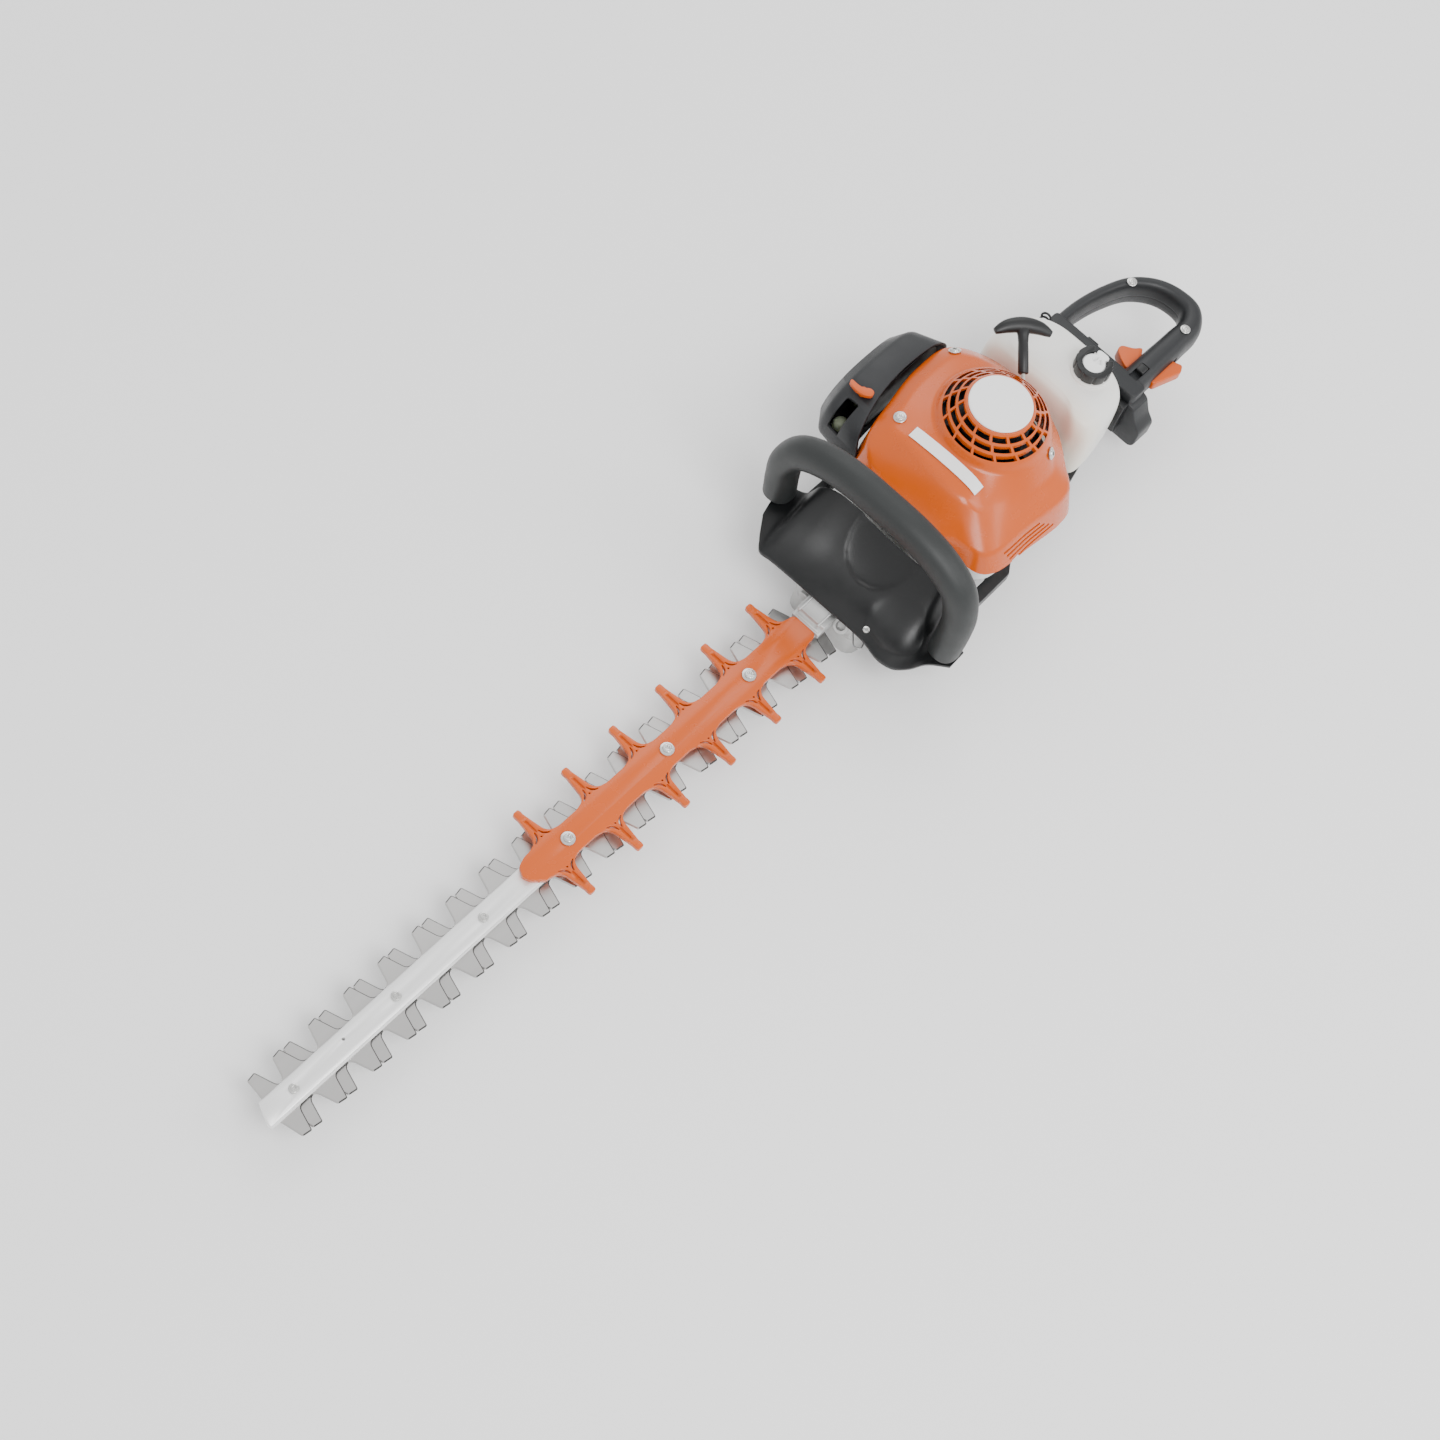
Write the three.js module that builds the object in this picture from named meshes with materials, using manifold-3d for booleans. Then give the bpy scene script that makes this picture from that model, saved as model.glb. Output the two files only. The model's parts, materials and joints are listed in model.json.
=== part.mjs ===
// Petrol hedge trimmer with a double-sided cutter, a front bail handle and a rear handle that swivels.
// Millimetres, +Z up, +X towards the cutter's tip. While the parts are laid out, the crankshaft stands
// on the Z axis and the two cutter blades meet at z = 0; the whole group is shifted at the end.
import * as THREE from 'three';
import { mergeVertices } from 'three/addons/utils/BufferGeometryUtils.js';
import Module from 'manifold-3d';

const wasm = await Module();
wasm.setup();

// ---------------------------------------------------------------- driving dimensions
const GAP = 0.3;                       // clearance between neighbouring pieces
const WALL = 2.6;                      // moulded covers and the tank
const TOOTH_PITCH = 38;
const TOOTH_COUNT = 17;
const FIRST_TOOTH_X = 829;             // foremost tooth tip of the upper blade, +Y side
const SIDE_OFFSET = 10.3;              // how far the -Y teeth sit ahead of the +Y teeth
const TOOTH_REACH = 32.5;              // centreline to tooth tip
const TOOTH_ROOT = 12;                 // centreline to the valley between teeth
const BLADE_THICKNESS = 2.3;
const BLADE_PHASE = 5.75;              // each blade's offset from its mid stroke at rest
const BLADE_THROW = 9.5;               // half of the blade stroke
const BLADE_TAIL_X = 152;
const ROD_THICKNESS = 3.6;
const BAR_START_X = 190;
const BAR_END_X = 847;
const BAR_HALF = 10.3;
const BAR_BOTTOM = BLADE_THICKNESS + 2 * GAP;
const BAR_TOP = 7.6;
const BOLT_XS = [286, 388, 507, 604, 702, 813];
const GUARD_BOLTS = 3;                 // the first bolts also hold the tooth guard
const BOLT_SHANK = 3;
const SPIKE_COUNT = 6;
const SPIKE_PITCH = 56.8;
const SPIKE_REACH = 46;
const BAND_HALF = 13.4;
const BAND_TOP = 13;

const FLOOR_Z = -32;                   // underside of the gearbox, on which the machine rests
const BOX_SPLIT_Z = -8;                // joint between gearbox housing and its bottom cover
const BOX_TOP_Z = 21;
const GEAR_MODULE = 2;
const PINION_TEETH = 12;
const GEAR_TEETH = 40;
const GEAR_X = GEAR_MODULE * (PINION_TEETH + GEAR_TEETH) / 2;
const ECCENTRIC_R = 9;

const CYLINDER_Z = 66;                 // height of the lying cylinder's axis
const CRANK_THROW = 12;
const BORE_R = 16;
const FIN_R = 21.3;
const FAN_R = 46;
const PULLEY_R = 28;
const BADGE_R = 28.2;
const BADGE_Z = 138;
const GRILL_R = 48;

const BAIL_X = 150;                    // plane of the front handle
const BAIL_R = 15.5;
const BAIL_TOP = 137;
const SPRING_X = 176;                  // front vibration springs

const SWIVEL = new THREE.Vector3(-143, 8, 42);
const LOOP_Z = SWIVEL.z;
const GRIP_THICKNESS = 34;
const PULL_START = new THREE.Vector3(-59, -17, 117);
const PULL_AXIS = new THREE.Vector3(-0.66, -0.66, 0.3).normalize();

const ORIGIN_SHIFT = new THREE.Vector3(-283, 3.6, -FLOOR_Z);

// ---------------------------------------------------------------- colours
const PAINT = {
  orange: [0xf06a10, 0.32, 0.0],
  orange_soft: [0xee6a14, 0.5, 0.0],
  charcoal: [0x34363a, 0.55, 0.0],
  black: [0x1d2022, 0.6, 0.0],
  rubber: [0x3c3f40, 0.8, 0.0],
  tank: [0xf2efe6, 0.4, 0.0],
  pale: [0xdadbd9, 0.5, 0.0],
  white: [0xf6f6f4, 0.45, 0.0],
  steel: [0xb7b5b2, 0.35, 0.9],
  bright: [0xd8d8d8, 0.25, 1.0],
  alloy: [0xbfc0c0, 0.45, 0.8],
  dark_metal: [0x5a5a5c, 0.5, 0.8],
  foam: [0x6d7a52, 0.95, 0.0],
  clear: [0xd9e0c8, 0.3, 0.0],
};

const group = new THREE.Group();

function add(name, geometry, paint) {
  const [color, roughness, metalness] = PAINT[paint];
  const material = new THREE.MeshStandardMaterial({ color, roughness, metalness });
  const mesh = new THREE.Mesh(geometry, material);
  mesh.name = name;
  group.add(mesh);
  return mesh;
}

// ---------------------------------------------------------------- solids
function toSolid(geometry) {
  const bare = geometry.clone();
  bare.deleteAttribute('normal');
  bare.deleteAttribute('uv');
  const merged = mergeVertices(bare, 1e-4);
  return new wasm.Manifold(new wasm.Mesh({
    numProp: 3,
    vertProperties: new Float32Array(merged.attributes.position.array),
    triVerts: new Uint32Array(merged.index.array),
  }));
}

function toGeometry(solid) {
  const mesh = solid.getMesh();
  const geometry = new THREE.BufferGeometry();
  geometry.setAttribute('position', new THREE.BufferAttribute(new Float32Array(mesh.vertProperties), 3));
  geometry.setIndex(new THREE.BufferAttribute(new Uint32Array(mesh.triVerts), 1));
  return geometry;
}

function join(...geometries) {
  return toGeometry(geometries.map(toSolid).reduce((all, next) => all.add(next)));
}

function cut(base, ...tools) {
  return toGeometry(tools.map(toSolid).reduce((all, next) => all.subtract(next), toSolid(base)));
}

function block(x0, x1, y0, y1, z0, z1) {
  const geometry = new THREE.BoxGeometry(x1 - x0, y1 - y0, z1 - z0);
  return geometry.translate((x0 + x1) / 2, (y0 + y1) / 2, (z0 + z1) / 2);
}

// A cylinder from one point to another.
function rod(from, to, r, sides = 12) {
  const a = new THREE.Vector3(...from);
  const b = new THREE.Vector3(...to);
  const span = b.clone().sub(a);
  const geometry = new THREE.CylinderGeometry(r, r, span.length(), sides);
  const upright = new THREE.Vector3(0, 1, 0);
  const turn = new THREE.Quaternion().setFromUnitVectors(upright, span.clone().normalize());
  geometry.applyQuaternion(turn);
  const mid = a.add(b).multiplyScalar(0.5);
  return geometry.translate(mid.x, mid.y, mid.z);
}

// A turned piece from [radius, height] pairs, placed with its axis along the given direction.
function turned(profile, at, axis = [0, 0, 1], sides = 18) {
  const points = profile.map(([r, h]) => new THREE.Vector2(r, h));
  const geometry = new THREE.LatheGeometry(points, sides);
  const up = new THREE.Vector3(...axis).normalize();
  geometry.applyQuaternion(new THREE.Quaternion().setFromUnitVectors(new THREE.Vector3(0, 1, 0), up));
  return outward(geometry.translate(...at));
}

// Turns a closed geometry's faces outward when they point in.
function outward(geometry) {
  const bare = geometry.clone();
  bare.deleteAttribute('normal');
  bare.deleteAttribute('uv');
  const merged = dropFlat(mergeVertices(bare, 1e-4));
  const p = merged.attributes.position;
  const index = merged.index.array;
  const [a, b, c] = [new THREE.Vector3(), new THREE.Vector3(), new THREE.Vector3()];
  let volume = 0;
  for (let i = 0; i < index.length; i += 3) {
    a.fromBufferAttribute(p, index[i]);
    b.fromBufferAttribute(p, index[i + 1]);
    c.fromBufferAttribute(p, index[i + 2]);
    volume += a.dot(b.cross(c));
  }
  if (volume < 0) {
    for (let i = 0; i < index.length; i += 3) {
      [index[i + 1], index[i + 2]] = [index[i + 2], index[i + 1]];
    }
  }
  return merged;
}

// Removes triangles that merging has folded to a line.
function dropFlat(geometry) {
  const kept = [];
  const index = geometry.index.array;
  for (let i = 0; i < index.length; i += 3) {
    const [a, b, c] = [index[i], index[i + 1], index[i + 2]];
    if (a !== b && b !== c && c !== a) kept.push(a, b, c);
  }
  geometry.setIndex(kept);
  return geometry;
}

// A plate from a shape drawn in X and Y, between two heights.
function plate(shape, z0, z1, curveSegments = 6) {
  const geometry = new THREE.ExtrudeGeometry(shape, { depth: z1 - z0, bevelEnabled: false, curveSegments });
  return geometry.translate(0, 0, z0);
}

// A plate from a shape drawn in Y and Z, between two X positions.
function plateAlongX(shape, x0, x1, curveSegments = 6) {
  const geometry = new THREE.ExtrudeGeometry(shape, { depth: x1 - x0, bevelEnabled: false, curveSegments });
  return geometry.rotateX(Math.PI / 2).rotateZ(Math.PI / 2).translate(x0, 0, 0);
}

function shapeOf(points) {
  return new THREE.Shape(points.map(([x, y]) => new THREE.Vector2(x, y)));
}

// A closed outline whose corners are rounded with arcs.
function rounded(corners, radius) {
  const shape = new THREE.Shape();
  const n = corners.length;
  corners.forEach(([x, y], i) => {
    const here = new THREE.Vector2(x, y);
    const before = new THREE.Vector2(...corners[(i + n - 1) % n]);
    const after = new THREE.Vector2(...corners[(i + 1) % n]);
    const back = before.sub(here);
    const ahead = after.sub(here);
    const trim = Math.min(radius, back.length() * 0.49, ahead.length() * 0.49);
    const start = here.clone().addScaledVector(back.normalize(), trim);
    const end = here.clone().addScaledVector(ahead.normalize(), trim);
    if (i === 0) shape.moveTo(start.x, start.y);
    else shape.lineTo(start.x, start.y);
    shape.quadraticCurveTo(x, y, end.x, end.y);
  });
  shape.closePath();
  return shape;
}

function slot(x, y, halfLength, halfWidth) {
  const path = new THREE.Path();
  path.absarc(x + halfLength - halfWidth, y, halfWidth, -Math.PI / 2, Math.PI / 2, false);
  path.absarc(x - halfLength + halfWidth, y, halfWidth, Math.PI / 2, 3 * Math.PI / 2, false);
  path.closePath();
  return path;
}

// A closed skin through rings that all have the same number of points; the end rings are capped.
function loft(rings) {
  const n = rings[0].length;
  const positions = [];
  const index = [];
  rings.forEach((ring) => ring.forEach((p) => positions.push(p.x, p.y, p.z)));
  for (let k = 0; k + 1 < rings.length; k += 1) {
    for (let i = 0; i < n; i += 1) {
      const j = (i + 1) % n;
      const [a, b, c, d] = [k * n + i, k * n + j, (k + 1) * n + j, (k + 1) * n + i];
      index.push(a, b, c, a, c, d);
    }
  }
  const middle = (ring) => ring.reduce((sum, p) => sum.add(p), new THREE.Vector3()).divideScalar(n);
  [0, rings.length - 1].forEach((k) => {
    const centre = middle(rings[k]);
    const tip = positions.length / 3;
    positions.push(centre.x, centre.y, centre.z);
    for (let i = 0; i < n; i += 1) {
      const j = (i + 1) % n;
      if (k === 0) index.push(tip, j, i);
      else index.push(tip, k * n + i, k * n + j);
    }
  });
  const geometry = new THREE.BufferGeometry();
  geometry.setAttribute('position', new THREE.BufferAttribute(new Float32Array(positions), 3));
  geometry.setIndex(index);
  return outward(geometry);
}

// Points around a smooth closed curve through [x, y, z] stations.
function ringThrough(stations, count) {
  const curve = new THREE.CatmullRomCurve3(stations.map((s) => new THREE.Vector3(...s)), true, 'centripetal');
  return Array.from({ length: count }, (_, i) => curve.getPoint(i / count));
}

// A bar of oval section swept along a smooth open curve; "flat" is the section's second half width,
// measured along the direction "side", which may not lie along the curve.
function sweep(stations, widths, flat, side, steps, sides = 12) {
  const points = stations.map((s) => new THREE.Vector3(...s));
  const curve = new THREE.CatmullRomCurve3(points, false, 'centripetal');
  const across = new THREE.Vector3(...side).normalize();
  const rings = [];
  for (let k = 0; k <= steps; k += 1) {
    const t = k / steps;
    const along = curve.getTangent(t);
    const out = new THREE.Vector3().crossVectors(along, across).normalize();
    const place = (widths.length - 1) * t;
    const low = Math.min(Math.floor(place), widths.length - 2);
    const width = THREE.MathUtils.lerp(widths[low], widths[low + 1], place - low);
    rings.push(Array.from({ length: sides }, (_, i) => {
      const angle = (2 * Math.PI * (i + 0.5)) / sides;
      const p = curve.getPoint(t);
      p.addScaledVector(out, Math.cos(angle) * width);
      return p.addScaledVector(across, Math.sin(angle) * flat);
    }));
  }
  return loft(rings);
}

// A coil spring of round wire along a straight axis.
function coil(from, to, r, wire, turns) {
  const a = new THREE.Vector3(...from);
  const span = new THREE.Vector3(...to).sub(a);
  const up = span.clone().normalize();
  const u = new THREE.Vector3(0.3, 0.2, 1).cross(up).normalize();
  const v = up.clone().cross(u);
  const points = [];
  const steps = turns * 8;
  for (let i = 0; i <= steps; i += 1) {
    const angle = (2 * Math.PI * i) / 8;
    const p = a.clone().addScaledVector(span, i / steps);
    p.addScaledVector(u, Math.cos(angle) * r).addScaledVector(v, Math.sin(angle) * r);
    points.push(p);
  }
  const section = new THREE.Shape();
  section.absarc(0, 0, wire, 0, Math.PI * 2, false);
  const path = new THREE.CatmullRomCurve3(points);
  return outward(new THREE.ExtrudeGeometry(section, {
    extrudePath: path, steps, bevelEnabled: false, curveSegments: 3,
  }));
}

// A spur gear outline with straight-sided teeth, one tooth centred on the angle "phase".
function gearShape(teeth, phase) {
  const pitchR = GEAR_MODULE * teeth / 2;
  const tipR = pitchR + 0.8 * GEAR_MODULE;
  const rootR = pitchR - 1.05 * GEAR_MODULE;
  const step = (2 * Math.PI) / teeth;
  const points = [];
  for (let i = 0; i < teeth; i += 1) {
    const at = phase + i * step;
    [[rootR, -0.3], [tipR, -0.12], [tipR, 0.12], [rootR, 0.3]].forEach(([r, share]) => {
      points.push([r * Math.cos(at + share * step), r * Math.sin(at + share * step)]);
    });
  }
  return shapeOf(points);
}

// ---------------------------------------------------------------- cutter
// One blade: a strip with trapezoid teeth on both edges and a slot for each bolt.
function bladeShape(shift, skipFirst) {
  const base = 11.5;
  const tip = 4.6;
  const toeX = FIRST_TOOTH_X + shift + 9;
  const outline = [[BLADE_TAIL_X, -9.5], [BLADE_TAIL_X, 9.5], [196, TOOTH_ROOT]];
  for (let k = TOOTH_COUNT - 1; k >= 0; k -= 1) {
    const x = FIRST_TOOTH_X + shift - TOOTH_PITCH * k;
    outline.push([x - base, TOOTH_ROOT], [x - tip, TOOTH_REACH], [x + tip, TOOTH_REACH]);
    if (k > 0) outline.push([x + base, TOOTH_ROOT]);
  }
  outline.push([toeX, TOOTH_ROOT - 2], [toeX + (skipFirst ? 0 : 8), -TOOTH_ROOT + 2]);
  for (let k = skipFirst ? 1 : 0; k < TOOTH_COUNT; k += 1) {
    const x = FIRST_TOOTH_X + SIDE_OFFSET + shift - TOOTH_PITCH * k;
    if (k > 0) outline.push([x + base, -TOOTH_ROOT]);
    outline.push([x + tip, -TOOTH_REACH], [x - tip, -TOOTH_REACH], [x - base, -TOOTH_ROOT]);
  }
  const shape = shapeOf(outline);
  const slotShift = shift === 0 ? BLADE_PHASE : -BLADE_PHASE;
  BOLT_XS.forEach((x) => {
    shape.holes.push(slot(x + slotShift, 0, BLADE_THROW + BOLT_SHANK + 0.8, BOLT_SHANK + 0.6));
  });
  return shape;
}

add('upper_blade', outward(plate(bladeShape(0, true), GAP, GAP + BLADE_THICKNESS, 2)), 'steel');
add('lower_blade', outward(plate(bladeShape(-2 * BLADE_PHASE, false), -BLADE_THICKNESS, 0, 2)), 'steel');

// Flat rods that join the eccentrics to the blades; each head is a wide slot around its eccentric.
function driveRod(slideLow, slideHigh, z0, z1) {
  const reach = ECCENTRIC_R + BLADE_THROW + 0.8;
  const inner = [GEAR_X - reach - slideHigh, GEAR_X + reach - slideLow];
  const wall = 4.5;
  const half = reach + wall;
  const shape = rounded([
    [inner[0] - wall, -half], [inner[1] + wall, -half], [inner[1] + 24, -8], [BLADE_TAIL_X + 20, -8],
    [BLADE_TAIL_X + 20, 8], [inner[1] + 24, 8], [inner[1] + wall, half], [inner[0] - wall, half],
  ], 9);
  shape.holes.push(slot((inner[0] + inner[1]) / 2, 0, (inner[1] - inner[0]) / 2, reach));
  return outward(plate(shape, z0, z1, 5));
}

const upperTravel = [-BLADE_THROW - BLADE_PHASE, BLADE_THROW - BLADE_PHASE];
const lowerTravel = [BLADE_PHASE - BLADE_THROW, BLADE_PHASE + BLADE_THROW];
const rodCeiling = -BLADE_THICKNESS - GAP;
add('upper_drive_rod', driveRod(...upperTravel, BAR_BOTTOM, BAR_BOTTOM + ROD_THICKNESS), 'dark_metal');
add('lower_drive_rod', driveRod(...lowerTravel, rodCeiling - ROD_THICKNESS, rodCeiling), 'dark_metal');

// Guide bar: a flat rail with a thin lip along both edges, its tip cut at a slant.
function guideBar() {
  const lip = BAR_HALF + 1.1;
  const section = shapeOf([
    [-lip, BAR_BOTTOM], [lip, BAR_BOTTOM], [lip, BAR_BOTTOM + 1.3], [BAR_HALF, BAR_BOTTOM + 1.8],
    [BAR_HALF, BAR_TOP - 0.9], [BAR_HALF - 0.9, BAR_TOP], [0.9 - BAR_HALF, BAR_TOP],
    [-BAR_HALF, BAR_TOP - 0.9], [-BAR_HALF, BAR_BOTTOM + 1.8], [-lip, BAR_BOTTOM + 1.3],
  ]);
  const rail = plateAlongX(section, BAR_START_X, BAR_END_X);
  const toe = plate(shapeOf([[BAR_END_X - 9, -14], [BAR_END_X + 4, -14], [BAR_END_X + 4, 14]]), 0, 12);
  const bores = BOLT_XS.map((x) => rod([x, 0, 0], [x, 0, 12], BOLT_SHANK + GAP, 12));
  const rivetHole = rod([757, -3, 0], [757, -3, 12], 1.4, 8);
  return cut(outward(rail), toe, rivetHole, ...bores);
}
add('guide_bar', guideBar(), 'bright');

// Tooth guard: a band on the rear half of the bar with a row of long blunt spikes on each side.
function toothGuard() {
  const start = 214;
  const end = 546;
  const outline = [[start, -BAND_HALF + 3], [start, BAND_HALF - 3], [start + 3, BAND_HALF]];
  for (let k = 0; k < SPIKE_COUNT; k += 1) {
    const x = 241 + SPIKE_PITCH * k;
    outline.push([x - 17, BAND_HALF], [x - 9, BAND_HALF + 2.5], [x - 5.6, BAND_HALF + 8]);
    outline.push([x - 3.1, SPIKE_REACH - 2], [x - 1.6, SPIKE_REACH], [x + 1.6, SPIKE_REACH]);
    outline.push([x + 3.1, SPIKE_REACH - 2], [x + 5.6, BAND_HALF + 8]);
    outline.push([x + 9, BAND_HALF + 2.5], [x + 17, BAND_HALF]);
  }
  outline.push([end, BAND_HALF], [end + 9, BAND_HALF - 8], [end + 12, -2], [end + 7, -BAND_HALF + 3]);
  outline.push([end - 2, -BAND_HALF]);
  for (let k = SPIKE_COUNT - 1; k >= 0; k -= 1) {
    const x = 237 + SPIKE_PITCH * k;
    outline.push([x + 17, -BAND_HALF], [x + 9, -BAND_HALF - 2.5], [x + 5.6, -BAND_HALF - 8]);
    outline.push([x + 3.1, -SPIKE_REACH + 2], [x + 1.6, -SPIKE_REACH], [x - 1.6, -SPIKE_REACH]);
    outline.push([x - 3.1, -SPIKE_REACH + 2], [x - 5.6, -BAND_HALF - 8]);
    outline.push([x - 9, -BAND_HALF - 2.5], [x - 17, -BAND_HALF]);
  }
  outline.push([start + 3, -BAND_HALF]);
  const unique = outline.filter(([x, y], i) => {
    const [px, py] = outline[(i + outline.length - 1) % outline.length];
    return Math.hypot(x - px, y - py) > 0.5;
  });
  const body = outward(plate(shapeOf(unique), BAR_TOP + GAP, BAND_TOP));
  const bores = BOLT_XS.slice(0, GUARD_BOLTS).map((x) => rod([x, 0, 0], [x, 0, 20], BOLT_SHANK + GAP, 12));
  return cut(body, ...bores);
}
add('tooth_guard', toothGuard(), 'orange');

// Bar bolts: a flanged head above, a shank through bar and slots, and a nut below.
BOLT_XS.forEach((x, i) => {
  const seat = (i < GUARD_BOLTS ? BAND_TOP : BAR_TOP) + GAP;
  const head = i < GUARD_BOLTS ? 6.4 : 4.2;
  const under = -BLADE_THICKNESS - GAP;
  const profile = [
    [0, under - 3.2], [5.4, under - 3.2], [5.4, under], [BOLT_SHANK, under], [BOLT_SHANK, seat],
    [head, seat], [head, seat + 1.2], [head * 0.62, seat + 1.4], [head * 0.55, seat + 3], [0, seat + 3],
  ];
  add(`bar_bolt_${i + 1}`, turned(profile, [x, 0, 0], [0, 0, 1], 10), 'bright');
});

// ---------------------------------------------------------------- gearbox
function boxOutline(inset) {
  const a = inset;
  return rounded([
    [-46 + a, -30 + a], [-24 + a, -47 + a], [84 - a * 0.4, -52 + a], [150 - a * 0.2, -40 + a],
    [186 - a, -36 + a], [186 - a, 36 - a], [150 - a * 0.2, 40 - a], [84 - a * 0.4, 52 - a],
    [-24 + a, 47 - a], [-46 + a, 30 - a],
  ], 12);
}

// Upper gearbox casting, open below, with a slot in front for the bar and blades and a nose over the bar.
function gearboxHousing() {
  const shell = outward(plate(boxOutline(0), BOX_SPLIT_Z + GAP, BOX_TOP_Z, 4));
  const nose = block(180, 214, -15, 15, BAR_TOP + GAP, 19);
  const noseEdge = rod([214, -15, 19], [214, 15, 19], 6, 12);
  const hollow = outward(plate(boxOutline(5), BOX_SPLIT_Z - 1, BOX_TOP_Z - 1.8, 4));
  const mouth = block(170, 230, -13.5, 13.5, BOX_SPLIT_Z - 1, BAR_TOP + GAP);
  const shaftHole = rod([0, 0, 0], [0, 0, 40], 9, 16);
  const bossHole = rod([176, 24, 10], [176, 24, 40], 3.2, 10);
  const boss = join(shell, rod([176, 24, 12], [176, 24, 25], 8.5, 14));
  const body = cut(boss, hollow, mouth, shaftHole, bossHole);
  return join(body, cut(nose, noseEdge));
}
add('gearbox_housing', gearboxHousing(), 'alloy');

// Lower gearbox casting: a tray whose flat underside is the machine's resting face.
function gearboxCover() {
  const tray = outward(plate(boxOutline(0), FLOOR_Z, BOX_SPLIT_Z, 4));
  const well = outward(plate(boxOutline(6), FLOOR_Z + 9, BOX_SPLIT_Z + 1, 4));
  return cut(tray, well);
}
add('gearbox_cover', gearboxCover(), 'alloy');

// Drive gear, its two opposed eccentrics and their journal, one forging.
function driveGear() {
  const wheel = outward(plate(gearShape(GEAR_TEETH, Math.PI + Math.PI / GEAR_TEETH), 9, 18));
  const angle = Math.acos(BLADE_PHASE / BLADE_THROW);
  const ex = BLADE_THROW * Math.cos(angle);
  const ey = BLADE_THROW * Math.sin(angle);
  const upper = rod([ex, ey, 2.6], [ex, ey, 9.5], ECCENTRIC_R, 18);
  const lower = rod([-ex, -ey, -6.6], [-ex, -ey, 3], ECCENTRIC_R, 18);
  const journal = rod([0, 0, -16], [0, 0, 18.6], 4.5, 14);
  return join(wheel, upper, lower, journal).translate(GEAR_X, 0, 0);
}
add('drive_gear', driveGear(), 'steel');

// ---------------------------------------------------------------- clutch and engine
const drumProfile = [
  [0, 23.8], [33, 23.8], [33, 45], [30.8, 45], [30.8, 26.6], [0, 26.6],
];

// Clutch drum with the pinion on its underside.
function clutchDrum() {
  const wheel = outward(plate(gearShape(PINION_TEETH, 0), 9, 18));
  return join(turned(drumProfile, [0, 0, 0]), wheel, rod([0, 0, 17], [0, 0, 24.5], 7, 16));
}
add('clutch_drum', clutchDrum(), 'dark_metal');

// Two clutch shoes on a hub, as one piece clamped to the crankshaft.
function clutch() {
  const disc = turned([[6.5, 30], [29, 30], [29, 43], [6.5, 43], [6.5, 30]], [0, 0, 0], [0, 0, 1], 20);
  const gaps = [block(9, 35, -2, 2, 29, 44), block(-35, -9, -2, 2, 29, 44)];
  return cut(disc, ...gaps);
}
add('clutch_shoes', clutch(), 'dark_metal');

function crankshaft() {
  const shaft = rod([0, 0, 28], [0, 0, 60], 6, 16);
  const tail = rod([0, 0, 71], [0, 0, 111], 6, 16);
  const pin = rod([CRANK_THROW, 0, 58], [CRANK_THROW, 0, 74], 5, 14);
  const webs = [turned([[0, 57], [20, 57], [20, 62], [0, 62]], [0, 0, 0]),
    turned([[0, 70], [20, 70], [20, 75], [0, 75]], [0, 0, 0])];
  return join(webs[0], shaft, pin, webs[1], tail);
}
add('crankshaft', crankshaft(), 'steel');

function crankcase() {
  const profile = [
    [6.4, 48], [34, 48], [34, 86], [6.4, 86], [6.4, 80], [22, 80], [22, 54], [6.4, 54], [6.4, 48],
  ];
  const pot = turned(profile, [0, 0, 0], [0, 0, 1], 20);
  return cut(pot, rod([10, 0, CYLINDER_Z], [60, 0, CYLINDER_Z], BORE_R + 0.9, 24));
}
add('crankcase', crankcase(), 'alloy');

// Finned cylinder lying along X, with its head closed and drilled for the spark plug.
function cylinder() {
  const profile = [[BORE_R, 34.6], [19, 34.6], [19, 38]];
  for (let i = 0; i < 5; i += 1) {
    const x = 38 + 8 * i;
    profile.push([FIN_R, x], [FIN_R, x + 2.6], [19, x + 2.6], [19, x + 8]);
  }
  profile.push([18, 84], [4.2, 84], [4.2, 79.5], [BORE_R, 79.5], [BORE_R, 34.6]);
  return turned(profile, [0, 0, CYLINDER_Z], [1, 0, 0], 18);
}
add('cylinder', cylinder(), 'alloy');

function piston() {
  const crown = rod([44, 0, CYLINDER_Z], [66, 0, CYLINDER_Z], BORE_R - 0.3, 24);
  const hollow = rod([40, 0, CYLINDER_Z], [61, 0, CYLINDER_Z], BORE_R - 3, 18);
  return cut(crown, hollow);
}
add('piston', piston(), 'alloy');
add('connecting_rod', block(33, 60.6, -5, 5, CYLINDER_Z - 2.4, CYLINDER_Z + 2.4), 'steel');

const plugProfile = [[0, 80], [3.8, 80], [3.8, 84.3], [8, 84.3], [8, 89], [5, 89.4], [5, 96], [0, 96]];
add('spark_plug', turned(plugProfile, [0, 0, CYLINDER_Z], [1, 0, 0], 14), 'white');

// Muffler box beside the cylinder, with an outlet cut in its outer face.
function muffler() {
  const body = block(2, 66, 36, 76, 46, 72);
  const outlet = block(16, 50, 70, 80, 52, 60);
  const inside = block(5, 63, 39, 73, 49, 69);
  return cut(body, inside, outlet);
}
add('muffler', muffler(), 'dark_metal');

// Flywheel with fan blades on its rim.
function flywheel() {
  const profile = [[6.4, 88], [FAN_R, 88], [FAN_R, 91], [16, 91], [16, 96], [6.4, 96], [6.4, 88]];
  const disc = turned(profile, [0, 0, 0], [0, 0, 1], 20);
  const vanes = Array.from({ length: 8 }, (_, i) => {
    const vane = block(24, FAN_R - 1, -1.2, 1.2, 90, 102);
    return vane.rotateZ((Math.PI * i) / 4);
  });
  return join(disc, ...vanes);
}
add('flywheel_fan', flywheel(), 'black');

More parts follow.
